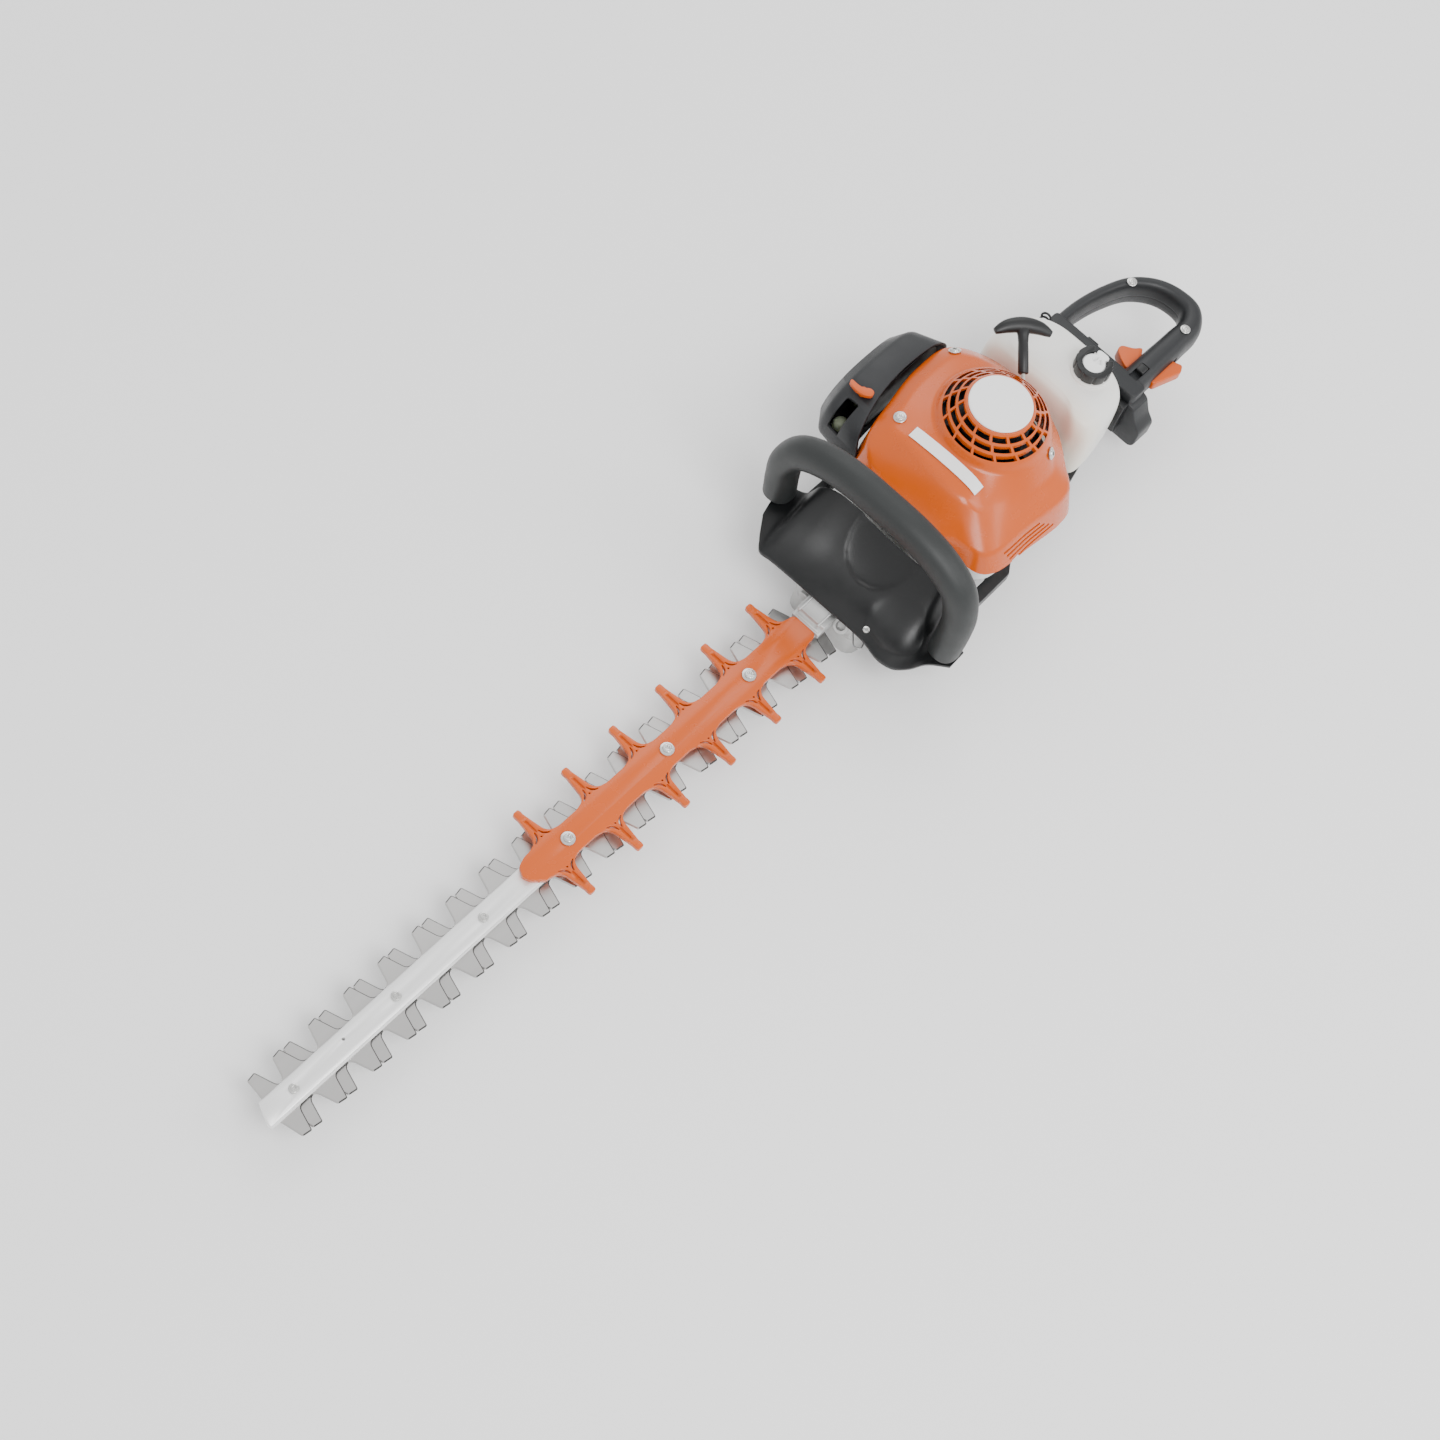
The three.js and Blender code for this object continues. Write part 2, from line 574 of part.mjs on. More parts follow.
const pulleyProfile = [
  [7, 104], [PULLEY_R + 4, 104], [PULLEY_R + 4, 105.5], [PULLEY_R, 106], [PULLEY_R, 112],
  [PULLEY_R + 4, 112.5], [PULLEY_R + 4, 114], [7, 114], [7, 104],
];
add('starter_pulley', turned(pulleyProfile, [0, 0, 0], [0, 0, 1], 20), 'black');

// Recoil spring: a flat strip wound in a spiral above the pulley.
function recoilSpring() {
  const turns = 3;
  const steps = turns * 12;
  const edge = (offset) => Array.from({ length: steps + 1 }, (_, i) => {
    const angle = (2 * Math.PI * i) / 12;
    const r = 9 + (13 * i) / steps + offset;
    return [r * Math.cos(angle), r * Math.sin(angle)];
  });
  return outward(plate(shapeOf([...edge(0.5), ...edge(-0.5).reverse()]), 115, 121));
}
add('recoil_spring', recoilSpring(), 'steel');

// Rope lead from the pulley to the grip, through the guide in the cover.
function along(distance) {
  return PULL_START.clone().addScaledVector(PULL_AXIS, distance).toArray();
}
add('starter_rope', rod(along(-20), along(-7.4), 1.75, 8), 'white');

// Pull grip: a stem that sinks into the rope guide, and an arched cross bar.
function pullGrip() {
  const across = new THREE.Vector3(-PULL_AXIS.y, PULL_AXIS.x, 0).normalize();
  const point = (side, out) => {
    const p = PULL_START.clone().addScaledVector(PULL_AXIS, out).addScaledVector(across, side);
    return p.toArray();
  };
  const bar = sweep([point(-25, 29), point(-14, 34), point(0, 36), point(14, 34), point(25, 29)],
    [4.5, 6.5, 7.2, 6.5, 4.5], 6.5, [PULL_AXIS.x * -0.3, PULL_AXIS.y * -0.3, 0.95], 12, 10);
  const stem = rod(point(0, -7), point(0, 33), 4.6, 12);
  return join(bar, stem);
}
add('pull_grip', pullGrip(), 'black');

// ---------------------------------------------------------------- engine cover
// Stations run round the cover from the rear, through +Y, the front and -Y.
// Each gives the skirt's lower edge, the shoulder and the edge of the top plate.
const COVER = [
  [[-66, 0, 64], [-65, 0, 88], [-54, 0, 106]],
  [[-53, 41, 62], [-52, 40, 86], [-42, 34, 104]],
  [[-38, 68, 54], [-36, 65, 79], [-25, 52, 98]],
  [[-26, 88, 46], [-24, 80, 77], [-12, 64, 92]],
  [[-10, 92, 46], [-10, 84, 77], [0, 66, 91]],
  [[35, 90, 52], [35, 81, 77], [32, 62, 94]],
  [[80, 87, 59], [76, 78, 77], [56, 54, 97]],
  [[92, 78, 60], [87, 71, 78], [67, 46, 99]],
  [[99, 47, 63], [96, 44, 78], [75, 34, 105]],
  [[110, 30, 62], [104, 27, 79], [77, 20, 107]],
  [[111, 0, 62], [105, -4, 80], [75, -6, 108]],
  [[102, -50, 62], [96, -48, 84], [69, -40, 107]],
  [[86, -69, 64], [82, -67, 92], [66, -56, 105]],
  [[42, -79, 66], [41, -77, 97], [38, -64, 108]],
  [[0, -85, 66], [0, -83, 97], [0, -69, 107]],
  [[-40, -81, 66], [-39, -79, 95], [-32, -65, 106]],
  [[-62, -48, 64], [-61, -47, 91], [-48, -38, 107]],
];
const COVER_SIDES = 36;
const COVER_MIDDLE = new THREE.Vector3(22, 3, 0);

// A point moved towards the vertical line through a middle, at a height of its own.
function inwards(p, inset, z, middle = COVER_MIDDLE) {
  const flat = new THREE.Vector3(p.x - middle.x, p.y - middle.y, 0);
  flat.setLength(flat.length() - inset);
  return new THREE.Vector3(middle.x + flat.x, middle.y + flat.y, z);
}

function coverRings(wall) {
  const level = (k) => ringThrough(COVER.map((station) => station[k]), COVER_SIDES);
  const plateRing = level(2);
  const circle = (r, z) => plateRing.map((p) => {
    const angle = Math.atan2(p.y, p.x);
    return new THREE.Vector3(r * Math.cos(angle), r * Math.sin(angle), z);
  });
  const skirtDrop = wall > 0 ? 6 : 0;
  return [
    level(0).map((p) => inwards(p, wall, p.z - skirtDrop)),
    level(1).map((p) => inwards(p, wall, p.z - wall)),
    plateRing.map((p) => inwards(p, wall, p.z - wall)),
    circle(GRILL_R + 4 - wall, 112 - wall),
    circle(GRILL_R - wall, 119 - wall),
    circle(BADGE_R + 1.5, BADGE_Z - 0.5 - wall),
  ];
}

function engineCover() {
  const shell = cut(loft(coverRings(0)), loft(coverRings(WALL)));
  const gaps = Array.from({ length: 12 }, (_, i) => {
    return block(32, 45.5, -6, 6, 114, 140).rotateZ((Math.PI * i) / 6);
  });
  const louvres = Array.from({ length: 4 }, (_, i) => {
    const z = 54 + 5 * i;
    return block(2 + 6 * i, 58 + 3 * i, 72, 98, z, z + 2.6);
  });
  const ropeGuide = rod(along(-24), along(14), 5.2, 12);
  return cut(shell, ...gaps, ...louvres, ropeGuide);
}
add('engine_cover', engineCover(), 'orange');

const badgeProfile = [[0, 0], [BADGE_R, 0], [BADGE_R, 0.8], [BADGE_R - 0.8, 1.4], [0, 1.4]];
add('badge', turned(badgeProfile, [0, 0, BADGE_Z - 0.2], [0, 0, 1], 32), 'white');

// A thin closed sheet over a grid of points; "thick" is measured straight down.
function sheet(pointAt, columns, rows, thick) {
  const positions = [];
  const index = [];
  const top = (i, j) => i * (rows + 1) + j;
  const count = (columns + 1) * (rows + 1);
  [0, thick].forEach((drop) => {
    for (let i = 0; i <= columns; i += 1) {
      for (let j = 0; j <= rows; j += 1) {
        const [x, y, z] = pointAt(i / columns, j / rows);
        positions.push(x, y, z - drop);
      }
    }
  });
  const quad = (a, b, c, d) => index.push(a, b, c, a, c, d);
  for (let i = 0; i < columns; i += 1) {
    for (let j = 0; j < rows; j += 1) {
      const corners = [top(i, j), top(i + 1, j), top(i + 1, j + 1), top(i, j + 1)];
      quad(...corners);
      quad(...corners.map((k) => k + count).reverse());
    }
  }
  const edge = [];
  for (let i = 0; i < columns; i += 1) edge.push([top(i, 0), top(i + 1, 0)]);
  for (let j = 0; j < rows; j += 1) edge.push([top(columns, j), top(columns, j + 1)]);
  for (let i = columns; i > 0; i -= 1) edge.push([top(i, rows), top(i - 1, rows)]);
  for (let j = rows; j > 0; j -= 1) edge.push([top(0, j), top(0, j - 1)]);
  edge.forEach(([a, b]) => quad(b, a, a + count, b + count));
  const geometry = new THREE.BufferGeometry();
  geometry.setAttribute('position', new THREE.BufferAttribute(new Float32Array(positions), 3));
  geometry.setIndex(index);
  return outward(geometry);
}

// Height and slope of a surface straight below a point.
function surfaceAt(mesh, x, y) {
  mesh.updateMatrixWorld();
  const ray = new THREE.Raycaster(new THREE.Vector3(x, y, 400), new THREE.Vector3(0, 0, -1));
  mesh.material.side = THREE.DoubleSide;
  const hit = ray.intersectObject(mesh)[0];
  mesh.material.side = THREE.FrontSide;
  return { point: hit.point, normal: hit.face.normal };
}

const cover = group.getObjectByName('engine_cover');
const LABEL = { x0: 54, x1: 65, y0: -40, y1: 36 };
add('label_plate', sheet((u, v) => {
  const x = THREE.MathUtils.lerp(LABEL.x0, LABEL.x1, u);
  const y = THREE.MathUtils.lerp(LABEL.y0, LABEL.y1, v);
  return [x, y, surfaceAt(cover, x, y).point.z + 1.4];
}, 2, 12, 0.6), 'white');

const COVER_SCREWS = [[-34, -70], [56, -57], [-17, 53]];
COVER_SCREWS.forEach(([x, y], i) => {
  const { point, normal } = surfaceAt(cover, x, y);
  const down = point.clone().addScaledVector(normal, -12).toArray();
  const up = point.clone().addScaledVector(normal, 5).toArray();
  cover.geometry = cut(cover.geometry, rod(down, up, 2.6, 10));
  const seat = point.clone().addScaledVector(normal, 0.9).toArray();
  const profile = [
    [0, -9], [2.2, -9], [2.2, 0], [5.6, 0], [5.6, 1.2], [4.4, 2.4], [2, 2.4], [2, 1.4], [0, 1.4],
  ];
  add(`cover_screw_${i + 1}`, turned(profile, seat, normal.toArray(), 14), 'bright');
});

// ---------------------------------------------------------------- engine base, intake and filter
const BASE_Z = 24;
const CABLE_PORT = [[18, -92, 38], [28, -64, 52]];
const INTAKE = { x: 58, z: 54 };

// Pale tray under the engine; its rim tucks inside the cover's skirt.
function engineBase() {
  const edge = ringThrough(COVER.map((station) => station[0]), COVER_SIDES);
  const outer = loft([
    edge.map((p) => inwards(p, 24, BASE_Z)),
    edge.map((p) => inwards(p, 5.4, 43)),
    edge.map((p) => inwards(p, 7.6, p.z + 3)),
  ]);
  const inner = loft([
    edge.map((p) => inwards(p, 26, BASE_Z + 3)),
    edge.map((p) => inwards(p, 9, 45)),
    edge.map((p) => inwards(p, 10.6, p.z + 6)),
  ]);
  const intake = rod([INTAKE.x, -100, INTAKE.z], [INTAKE.x, -50, INTAKE.z], 10, 14);
  return cut(outer, inner, rod([0, 0, 0], [0, 0, 60], 36, 24), rod(...CABLE_PORT, 5.5, 10), intake);
}
add('engine_base', engineBase(), 'pale');

const carburettorFlange = rod([INTAKE.x, -61, INTAKE.z], [INTAKE.x, -57, INTAKE.z], 9.5, 14);
add('carburettor', join(block(42, 74, -58, -27, 48, 80), carburettorFlange), 'alloy');

// Filter housing: a thick back plate and a deep rounded cover that opens towards the engine.
// Each station gives (x, y, z) at the open edge, then (x, z) at the shoulder and at the outer face.
const FILTER = [
  [[-46, -84, 46], [-40, 47], [-22, 50]],
  [[-46, -84, 84], [-34, 84], [-18, 80]],
  [[-30, -87, 98], [-20, 97], [-6, 88]],
  [[20, -88.5, 101], [20, 100], [22, 91]],
  [[58, -82.5, 99], [54, 97], [46, 88]],
  [[84, -74, 87], [79, 83], [64, 77]],
  [[91, -67, 64], [85, 62], [71, 60]],
  [[86, -75, 43], [80, 44], [66, 48]],
  [[60, -84, 34], [58, 36], [50, 43]],
  [[-28, -88, 34], [-26, 36], [-8, 43]],
];
const FILTER_SHOULDER_Y = -112;
const FILTER_FACE_Y = -122;
const FILTER_MIDDLE = { x: 22, z: 67 };
const FILTER_SIDES = 26;

function filterRing(stations, inset) {
  return ringThrough(stations, FILTER_SIDES).map((p) => {
    const flat = new THREE.Vector3(p.x - FILTER_MIDDLE.x, 0, p.z - FILTER_MIDDLE.z);
    flat.setLength(flat.length() - inset);
    return new THREE.Vector3(FILTER_MIDDLE.x + flat.x, p.y, FILTER_MIDDLE.z + flat.z);
  });
}

function filterShell(wall) {
  const level = (k, y) => FILTER.map((station) => [station[k][0], y, station[k][1]]);
  const edge = FILTER.map(([[x, y, z]]) => [x, y + 2 * wall, z]);
  return loft([
    filterRing(edge, wall),
    filterRing(level(1, FILTER_SHOULDER_Y + wall * 0.4), wall),
    filterRing(level(2, FILTER_FACE_Y + wall), wall),
  ]);
}

const CHOKE = { x: 57, y: -97 };

function filterCover() {
  const shell = cut(filterShell(0), filterShell(WALL));
  const window = block(66, 100, -104, -91.5, 68, 110);
  return cut(shell, window, rod([CHOKE.x, CHOKE.y, 80], [CHOKE.x, CHOKE.y, 110], 3.4, 12));
}
add('filter_cover', filterCover(), 'charcoal');

// Back plate of the filter housing; its rim reaches round the engine cover's side.
function filterBase() {
  const at = (yOf, inset) => filterRing(FILTER.map(([[x, y, z]]) => [x, yOf(y), z]), inset);
  const body = loft([
    at(() => -88.5, 26),
    at((y) => Math.max(y - 5, -88.5), 7.5),
    at(() => -91, 8.5),
  ]);
  return cut(body, rod([INTAKE.x, -100, INTAKE.z], [INTAKE.x, -60, INTAKE.z], 6.5, 14));
}
add('filter_base', filterBase(), 'black');
add('filter_element', block(-20, 40, -108, -92.2, 48, 84), 'foam');

// Choke lever on a short stem through the filter cover.
function chokeLever() {
  const blade = rounded([
    [57, -111], [61, -110], [63, -101], [61.5, -92], [57, -87],
    [52, -89], [52, -94], [56.5, -98], [57.5, -104],
  ], 2.5);
  const arm = outward(plate(blade, 101.4, 105, 3));
  return join(arm, rod([CHOKE.x, CHOKE.y, 92], [CHOKE.x, CHOKE.y, 104], 3, 12));
}
add('choke_lever', chokeLever(), 'orange_soft');
const bulbProfile = [[0, 0], [7.5, 0], [7.5, 2], [6.6, 5.5], [4, 8.2], [0, 9.2]];
add('primer_bulb', turned(bulbProfile, [70, -99.5, 58], [0.35, 0, 0.94], 16), 'clear');

// ---------------------------------------------------------------- fuel tank
// Each station gives (x, y) at the tank's waist; levels scale it towards the middle.
const TANK = [
  [-72, 0], [-70, 30], [-64, 50], [-70, 63], [-100, 62], [-128, 53], [-139, 32], [-140.5, 0],
  [-138, -36], [-126, -56], [-96, -67], [-76, -62], [-71, -30],
];
const TANK_LEVELS = [[0.74, 11], [0.93, 18], [1, 40], [1, 62], [0.97, 80], [0.88, 90], [0.7, 95]];

function tankRings(wall) {
  return TANK_LEVELS.map(([scale, z]) => {
    const middle = new THREE.Vector3(-106, -2, z);
    return ringThrough(TANK.map(([x, y]) => [x, y, z]), 28).map((p) => {
      const flat = p.clone().sub(middle).multiplyScalar(scale);
      const r = flat.length();
      flat.multiplyScalar((r - wall) / r);
      const height = THREE.MathUtils.lerp(z, 53, wall / 42);
      return new THREE.Vector3(middle.x + flat.x, middle.y + flat.y, height);
    });
  });
}
const CAP = { x: -116, y: 21, z: 98 };

function fuelTank() {
  const neck = rod([CAP.x, CAP.y, 78], [CAP.x, CAP.y, CAP.z], 18.5, 24);
  const mouth = rod([CAP.x, CAP.y, 70], [CAP.x, CAP.y, 110], 12, 20);
  return cut(join(loft(tankRings(0)), neck), loft(tankRings(WALL)), mouth);
}
add('fuel_tank', fuelTank(), 'tank');

function fuelCap() {
  const seat = CAP.z + GAP;
  const profile = [[0, 88], [11.5, 88], [11.5, seat], [17, seat], [17, 107], [15.5, 109.4], [0, 109.4]];
  const body = turned(profile, [CAP.x, CAP.y, 0], [0, 0, 1], 28);
  const notches = Array.from({ length: 10 }, (_, i) => {
    const angle = (2 * Math.PI * i) / 10;
    const at = [CAP.x + 18.6 * Math.cos(angle), CAP.y + 18.6 * Math.sin(angle)];
    return rod([...at, 101], [...at, 112], 2.4, 8);
  });
  return cut(body, ...notches);
}
add('fuel_cap', fuelCap(), 'black');

// ---------------------------------------------------------------- handle frame, guard and front handle
// Handle frame: two rails beside the engine that draw in under the tank, and a cross piece at the rear.
function handleFrame() {
  const rail = [
    [158, 90], [40, 87], [28, 79], [-60, 67], [-138, 48],
    [-138, 30], [-56, 53], [28, 65], [62, 76], [158, 76],
  ];
  const mirrored = rail.map(([x, y]) => [x, -Math.min(y, 86)]).reverse();
  const rear = block(-148, -126, -44, 44, -2, 8);
  return join(outward(plate(shapeOf(rail), -2, 9.6)), outward(plate(shapeOf(mirrored), -2, 9.6)), rear);
}
add('handle_frame', handleFrame(), 'black');

// Hand guard: a dished sheet between its rear and front edges.
const GUARD_BACK = [
  [138, -101, 37], [134, -79, 42], [131, -68, 62], [128, -54, 68], [124, -30, 64], [123, 0, 61],
  [124, 40, 61], [126, 65, 58], [128, 76, 42], [134, 88, 22], [136, 112, 21],
];
const GUARD_FRONT = [
  [174, -91, 37], [194, -77, 36], [202, -69, 34], [200, -57, 32], [198, -30, 30], [197, 0, 29], [196, 46, 27],
  [199, 66, 25], [195, 80, 23], [184, 90, 22], [168, 98, 21], [155, 113, 21],
];
const smooth = (points) => {
  return new THREE.CatmullRomCurve3(points.map((p) => new THREE.Vector3(...p)), false, 'centripetal');
};
const guardBack = smooth(GUARD_BACK);
const guardFront = smooth(GUARD_FRONT);

function guardPoint(u, v) {
  const p = guardBack.getPoint(u).lerp(guardFront.getPoint(u), v);
  const dip = 10 * Math.sin(Math.PI * v) * Math.pow(Math.sin(Math.PI * u), 0.7);
  return [p.x, p.y, p.z - dip];
}
add('hand_guard', sheet(guardPoint, 24, 5, 3), 'black');

// Front handle: an upright bail whose feet stand on the guard's wings.
const BAIL = [
  [-95, 42], [-98, 66], [-98.5, 88], [-88, 113], [-64, 129], [-34, 136], [0, BAIL_TOP], [34, 136], [64, 129],
  [88, 113], [98, 88], [100, 60], [99, 27],
];
const bailPath = BAIL.map(([y, z]) => [BAIL_X, y, z]);
add('front_handle', sweep(bailPath, [BAIL_R, BAIL_R], BAIL_R, [1, 0, 0], 24, 10), 'rubber');

[-1, 1].forEach((side, i) => {
  const from = [SPRING_X, 41 * side, 8];
  const to = [SPRING_X, 60 * side, 8];
  add(`front_spring_${i + 1}`, coil(from, to, 6, 1.3, 3), 'dark_metal');
});

// ---------------------------------------------------------------- rear handle
function swivelBase() {
  const back = block(-149, -142, -46, 56, 8.3, 57);
  const ear = block(-149, -138, -53, -39, 52, 57);
  const hub = rod([-166, SWIVEL.y, SWIVEL.z], [-142, SWIVEL.y, SWIVEL.z], 12, 24);
  return join(cut(back, block(-150, -141, 20, 60, 48, 60)), ear, hub);
}
add('swivel_base', swivelBase(), 'black');
add('rear_spring', coil([-143.2, -46, 59], [-143.2, -46, 76], 4.4, 1.1, 3), 'dark_metal');

const LOOP = [
  [-158, -41], [-190, -40], [-221, -34], [-248, -23], [-265, -5], [-271, 14], [-269, 32], [-256, 42],
  [-234, 43], [-205, 43], [-166, 43],
];
const LOOP_WIDTHS = [6.4, 6.4, 6.6, 7, 7.6, 8.6, 10.2, 11.4, 12.2, 12.8, 13.4];
const TRIGGER_PIVOT = [-182, 35];
const LOCKOUT_PIVOT = [-187, 52];

function rearHandle() {
  const half = GRIP_THICKNESS / 2 - 1;
  const loop = sweep(LOOP.map(([x, y]) => [x, y, LOOP_Z]), LOOP_WIDTHS, half, [0, 0, 1], 22, 12);
  const root = rounded([[-150.5, -48], [-169, -48], [-169, 58], [-150.5, 58]], 5);
  const foot = rounded([[38, -3], [73, -3], [77, 2], [77, 21], [69, 29], [62, 44], [38, 50]], 4);
  const rootBlock = plate(root, LOOP_Z - half, LOOP_Z + half, 3);
  const body = join(loop, rootBlock, outward(plateAlongX(foot, -172, -150.5, 3)));
  const bore = rod([-172, SWIVEL.y, SWIVEL.z], [-140, SWIVEL.y, SWIVEL.z], 12.4, 24);
  const triggerSlot = block(-212, -176, 20, 40, LOOP_Z - 7, LOOP_Z + 7);
  const lockSlot = block(-222, -183, 43.4, 66, LOOP_Z - 6, LOOP_Z + 6);
  const stopSlot = block(-186, -166, 38.6, 47.4, LOOP_Z + 12.5, LOOP_Z + 24);
  return cut(body, bore, triggerSlot, lockSlot, stopSlot);
}

const handle = rearHandle();
const above = block(-300, -140, -80, 100, LOOP_Z - 0.15, 120);
const below = block(-300, -140, -80, 100, -20, LOOP_Z + 0.15);
add('rear_handle_upper', cut(handle, below), 'charcoal');
add('rear_handle_lower', cut(handle, above), 'charcoal');

const triggerShape = rounded([
  [-206, 27], [-199, 22], [-193, 12], [-187, 12], [-181, 21], [-177.5, 30], [-180, 38.5], [-187, 38.5],
], 3);
add('throttle_trigger', outward(plate(triggerShape, LOOP_Z - 6, LOOP_Z + 6, 3)), 'orange_soft');
const lockShape = rounded([
  [-184, 49], [-184, 58], [-213, 67], [-220, 63], [-216, 53], [-211, 50.4], [-190, 47],
], 2.5);
add('lockout_lever', outward(plate(lockShape, LOOP_Z - 5.4, LOOP_Z + 5.4, 3)), 'orange_soft');
add('stop_slider', block(-184, -175, 39, 47, LOOP_Z + 13, LOOP_Z + 18.5), 'black');
add('swivel_lock', block(-178, -169.4, -14, -2, 36, 48), 'black');

[[-245, -22], [-243, 43]].forEach(([x, y], i) => {
  const seat = LOOP_Z + GRIP_THICKNESS / 2 - 0.5;
  const profile = [[0, 0], [4.6, 0], [4.6, 1.2], [3.6, 2], [0, 2]];
  add(`handle_screw_${i + 1}`, turned(profile, [x, y, seat + 0.2], [0, 0, 1], 12), 'bright');
});

// Throttle cable, from the swivel base along the engine's -Y side to the carburettor.
const CABLE = [
  [-141.4, -50, 20], [-134, -57, 15.5], [-100, -63, 14], [-60, -70, 14], [-20, -75, 16], [2, -78, 24],
  [13, -79.5, 33], [18.5, -80.5, 39.5], [22.5, -78.8, 44.6], [29, -66, 51], [35, -54, 57], [39.6, -48, 61],
];
add('throttle_cable', sweep(CABLE, [2.2, 2.2], 2.2, [0, 0, 1], 24, 8), 'black');

group.position.copy(ORIGIN_SHIFT);
export default group;
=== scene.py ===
import json
import math

import bmesh
import bpy
from mathutils import Matrix, Vector
from mathutils.bvhtree import BVHTree


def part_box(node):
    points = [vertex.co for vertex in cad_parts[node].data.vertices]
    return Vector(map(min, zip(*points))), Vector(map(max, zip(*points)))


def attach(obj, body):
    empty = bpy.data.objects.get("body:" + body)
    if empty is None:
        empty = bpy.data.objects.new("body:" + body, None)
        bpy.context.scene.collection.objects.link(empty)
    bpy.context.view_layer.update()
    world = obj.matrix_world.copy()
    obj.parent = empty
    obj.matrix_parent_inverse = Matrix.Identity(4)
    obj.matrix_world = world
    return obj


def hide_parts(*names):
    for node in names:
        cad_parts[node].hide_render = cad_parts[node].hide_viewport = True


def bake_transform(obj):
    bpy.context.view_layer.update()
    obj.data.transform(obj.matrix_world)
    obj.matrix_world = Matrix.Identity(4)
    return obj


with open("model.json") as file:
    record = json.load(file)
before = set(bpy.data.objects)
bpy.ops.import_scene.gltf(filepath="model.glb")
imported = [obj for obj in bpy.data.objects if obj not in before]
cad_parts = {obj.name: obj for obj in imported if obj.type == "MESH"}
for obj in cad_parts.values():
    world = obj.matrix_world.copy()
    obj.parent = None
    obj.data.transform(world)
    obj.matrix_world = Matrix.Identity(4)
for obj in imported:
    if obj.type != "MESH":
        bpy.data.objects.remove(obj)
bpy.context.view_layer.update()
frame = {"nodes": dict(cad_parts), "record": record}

NODES = frame["nodes"]
BODY_OF = {node: body for body, nodes in frame["record"]["behaviour"]["bodies"].items() for node in nodes}
SLOT_OF = {part["node"]: part["material_slot"] for part in frame["record"]["subparts"]}

# Lengths below are millimetres from the crank axis and the plane between the two blades,
# which is how the part's own source lays them out. at() turns them into the frame's metres.
PULLEY_LOW, PULLEY_HIGH = (Vector(corner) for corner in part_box("starter_pulley"))
CRANK = (PULLEY_LOW + PULLEY_HIGH) / 2
BLADE_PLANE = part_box("lower_blade")[1][2]


def at(x, y, z):
    return Vector((CRANK.x + x / 1000, CRANK.y + y / 1000, BLADE_PLANE + z / 1000))


def in_mm(point):
    return Vector(((point.x - CRANK.x) * 1000, (point.y - CRANK.y) * 1000, (point.z - BLADE_PLANE) * 1000))


# ---------------------------------------------------------------- materials
def node_of(tree, kind, **inputs):
    node = tree.nodes.new(kind)
    for name, value in inputs.items():
        node.inputs[name].default_value = value
    return node


def material(name, color, shade, rough, rough_spread, grain, bump, metal=0.0, coat=0.0,
             stretch=(1, 1, 1), mottle=9.0):
    """A surface with mottled colour, uneven roughness and a fine grain; grain is in features per metre."""
    mat = bpy.data.materials.new(name)
    mat.use_nodes = True
    tree = mat.node_tree
    shader = tree.nodes["Principled BSDF"]
    shader.inputs["Metallic"].default_value = metal
    shader.inputs["Coat Weight"].default_value = coat
    shader.inputs["Coat Roughness"].default_value = 0.12
    place = tree.nodes.new("ShaderNodeTexCoord")
    scale = node_of(tree, "ShaderNodeMapping", Scale=stretch)
    tree.links.new(place.outputs["Object"], scale.inputs["Vector"])

    def noise(frequency, detail):
        node = node_of(tree, "ShaderNodeTexNoise", Scale=frequency, Detail=detail, Roughness=0.6)
        tree.links.new(scale.outputs["Vector"], node.inputs["Vector"])
        return node.outputs["Fac"]

    def ramp(source, low, high, first, last):
        node = tree.nodes.new("ShaderNodeValToRGB")
        node.color_ramp.elements[0].position = low
        node.color_ramp.elements[1].position = high
        node.color_ramp.elements[0].color = first
        node.color_ramp.elements[1].color = last
        tree.links.new(source, node.inputs["Fac"])
        return node.outputs["Color"]

    dark = tuple(c * shade for c in color) + (1,)
    broad = noise(mottle, 3.0)
    tree.links.new(ramp(broad, 0.3, 0.7, dark, tuple(color) + (1,)), shader.inputs["Base Color"])
    smear = noise(mottle * 5, 4.0)
    low = max(rough - rough_spread, 0.02)
    high = min(rough + rough_spread, 1.0)
    tree.links.new(ramp(smear, 0.25, 0.75, (low, low, low, 1), (high, high, high, 1)), shader.inputs["Roughness"])
    lift = node_of(tree, "ShaderNodeBump", Strength=bump, Distance=0.0004)
    tree.links.new(noise(grain, 2.0), lift.inputs["Height"])
    tree.links.new(lift.outputs["Normal"], shader.inputs["Normal"])
    return mat


def tinted(mat, plain_x, tinted_x, tint):
    """Tints a plastic's colour more and more from one place along X to another."""
    tree = mat.node_tree
    color = tree.nodes["Principled BSDF"].inputs["Base Color"]
    place = tree.nodes.new("ShaderNodeTexCoord")
    split = tree.nodes.new("ShaderNodeSeparateXYZ")
    share = tree.nodes.new("ShaderNodeMapRange")
    share.inputs["From Min"].default_value = at(plain_x, 0, 0).x
    share.inputs["From Max"].default_value = at(tinted_x, 0, 0).x
    mix = tree.nodes.new("ShaderNodeMix")
    mix.data_type = "RGBA"
    mix.blend_type = "MULTIPLY"
    mix.inputs["B"].default_value = tint + (1,)
    tree.links.new(place.outputs["Object"], split.inputs["Vector"])
    tree.links.new(split.outputs["X"], share.inputs["Value"])
    tree.links.new(share.outputs["Result"], mix.inputs["Factor"])
    tree.links.new(color.links[0].from_socket, mix.inputs["A"])
    tree.links.new(mix.outputs["Result"], color)
    return mat


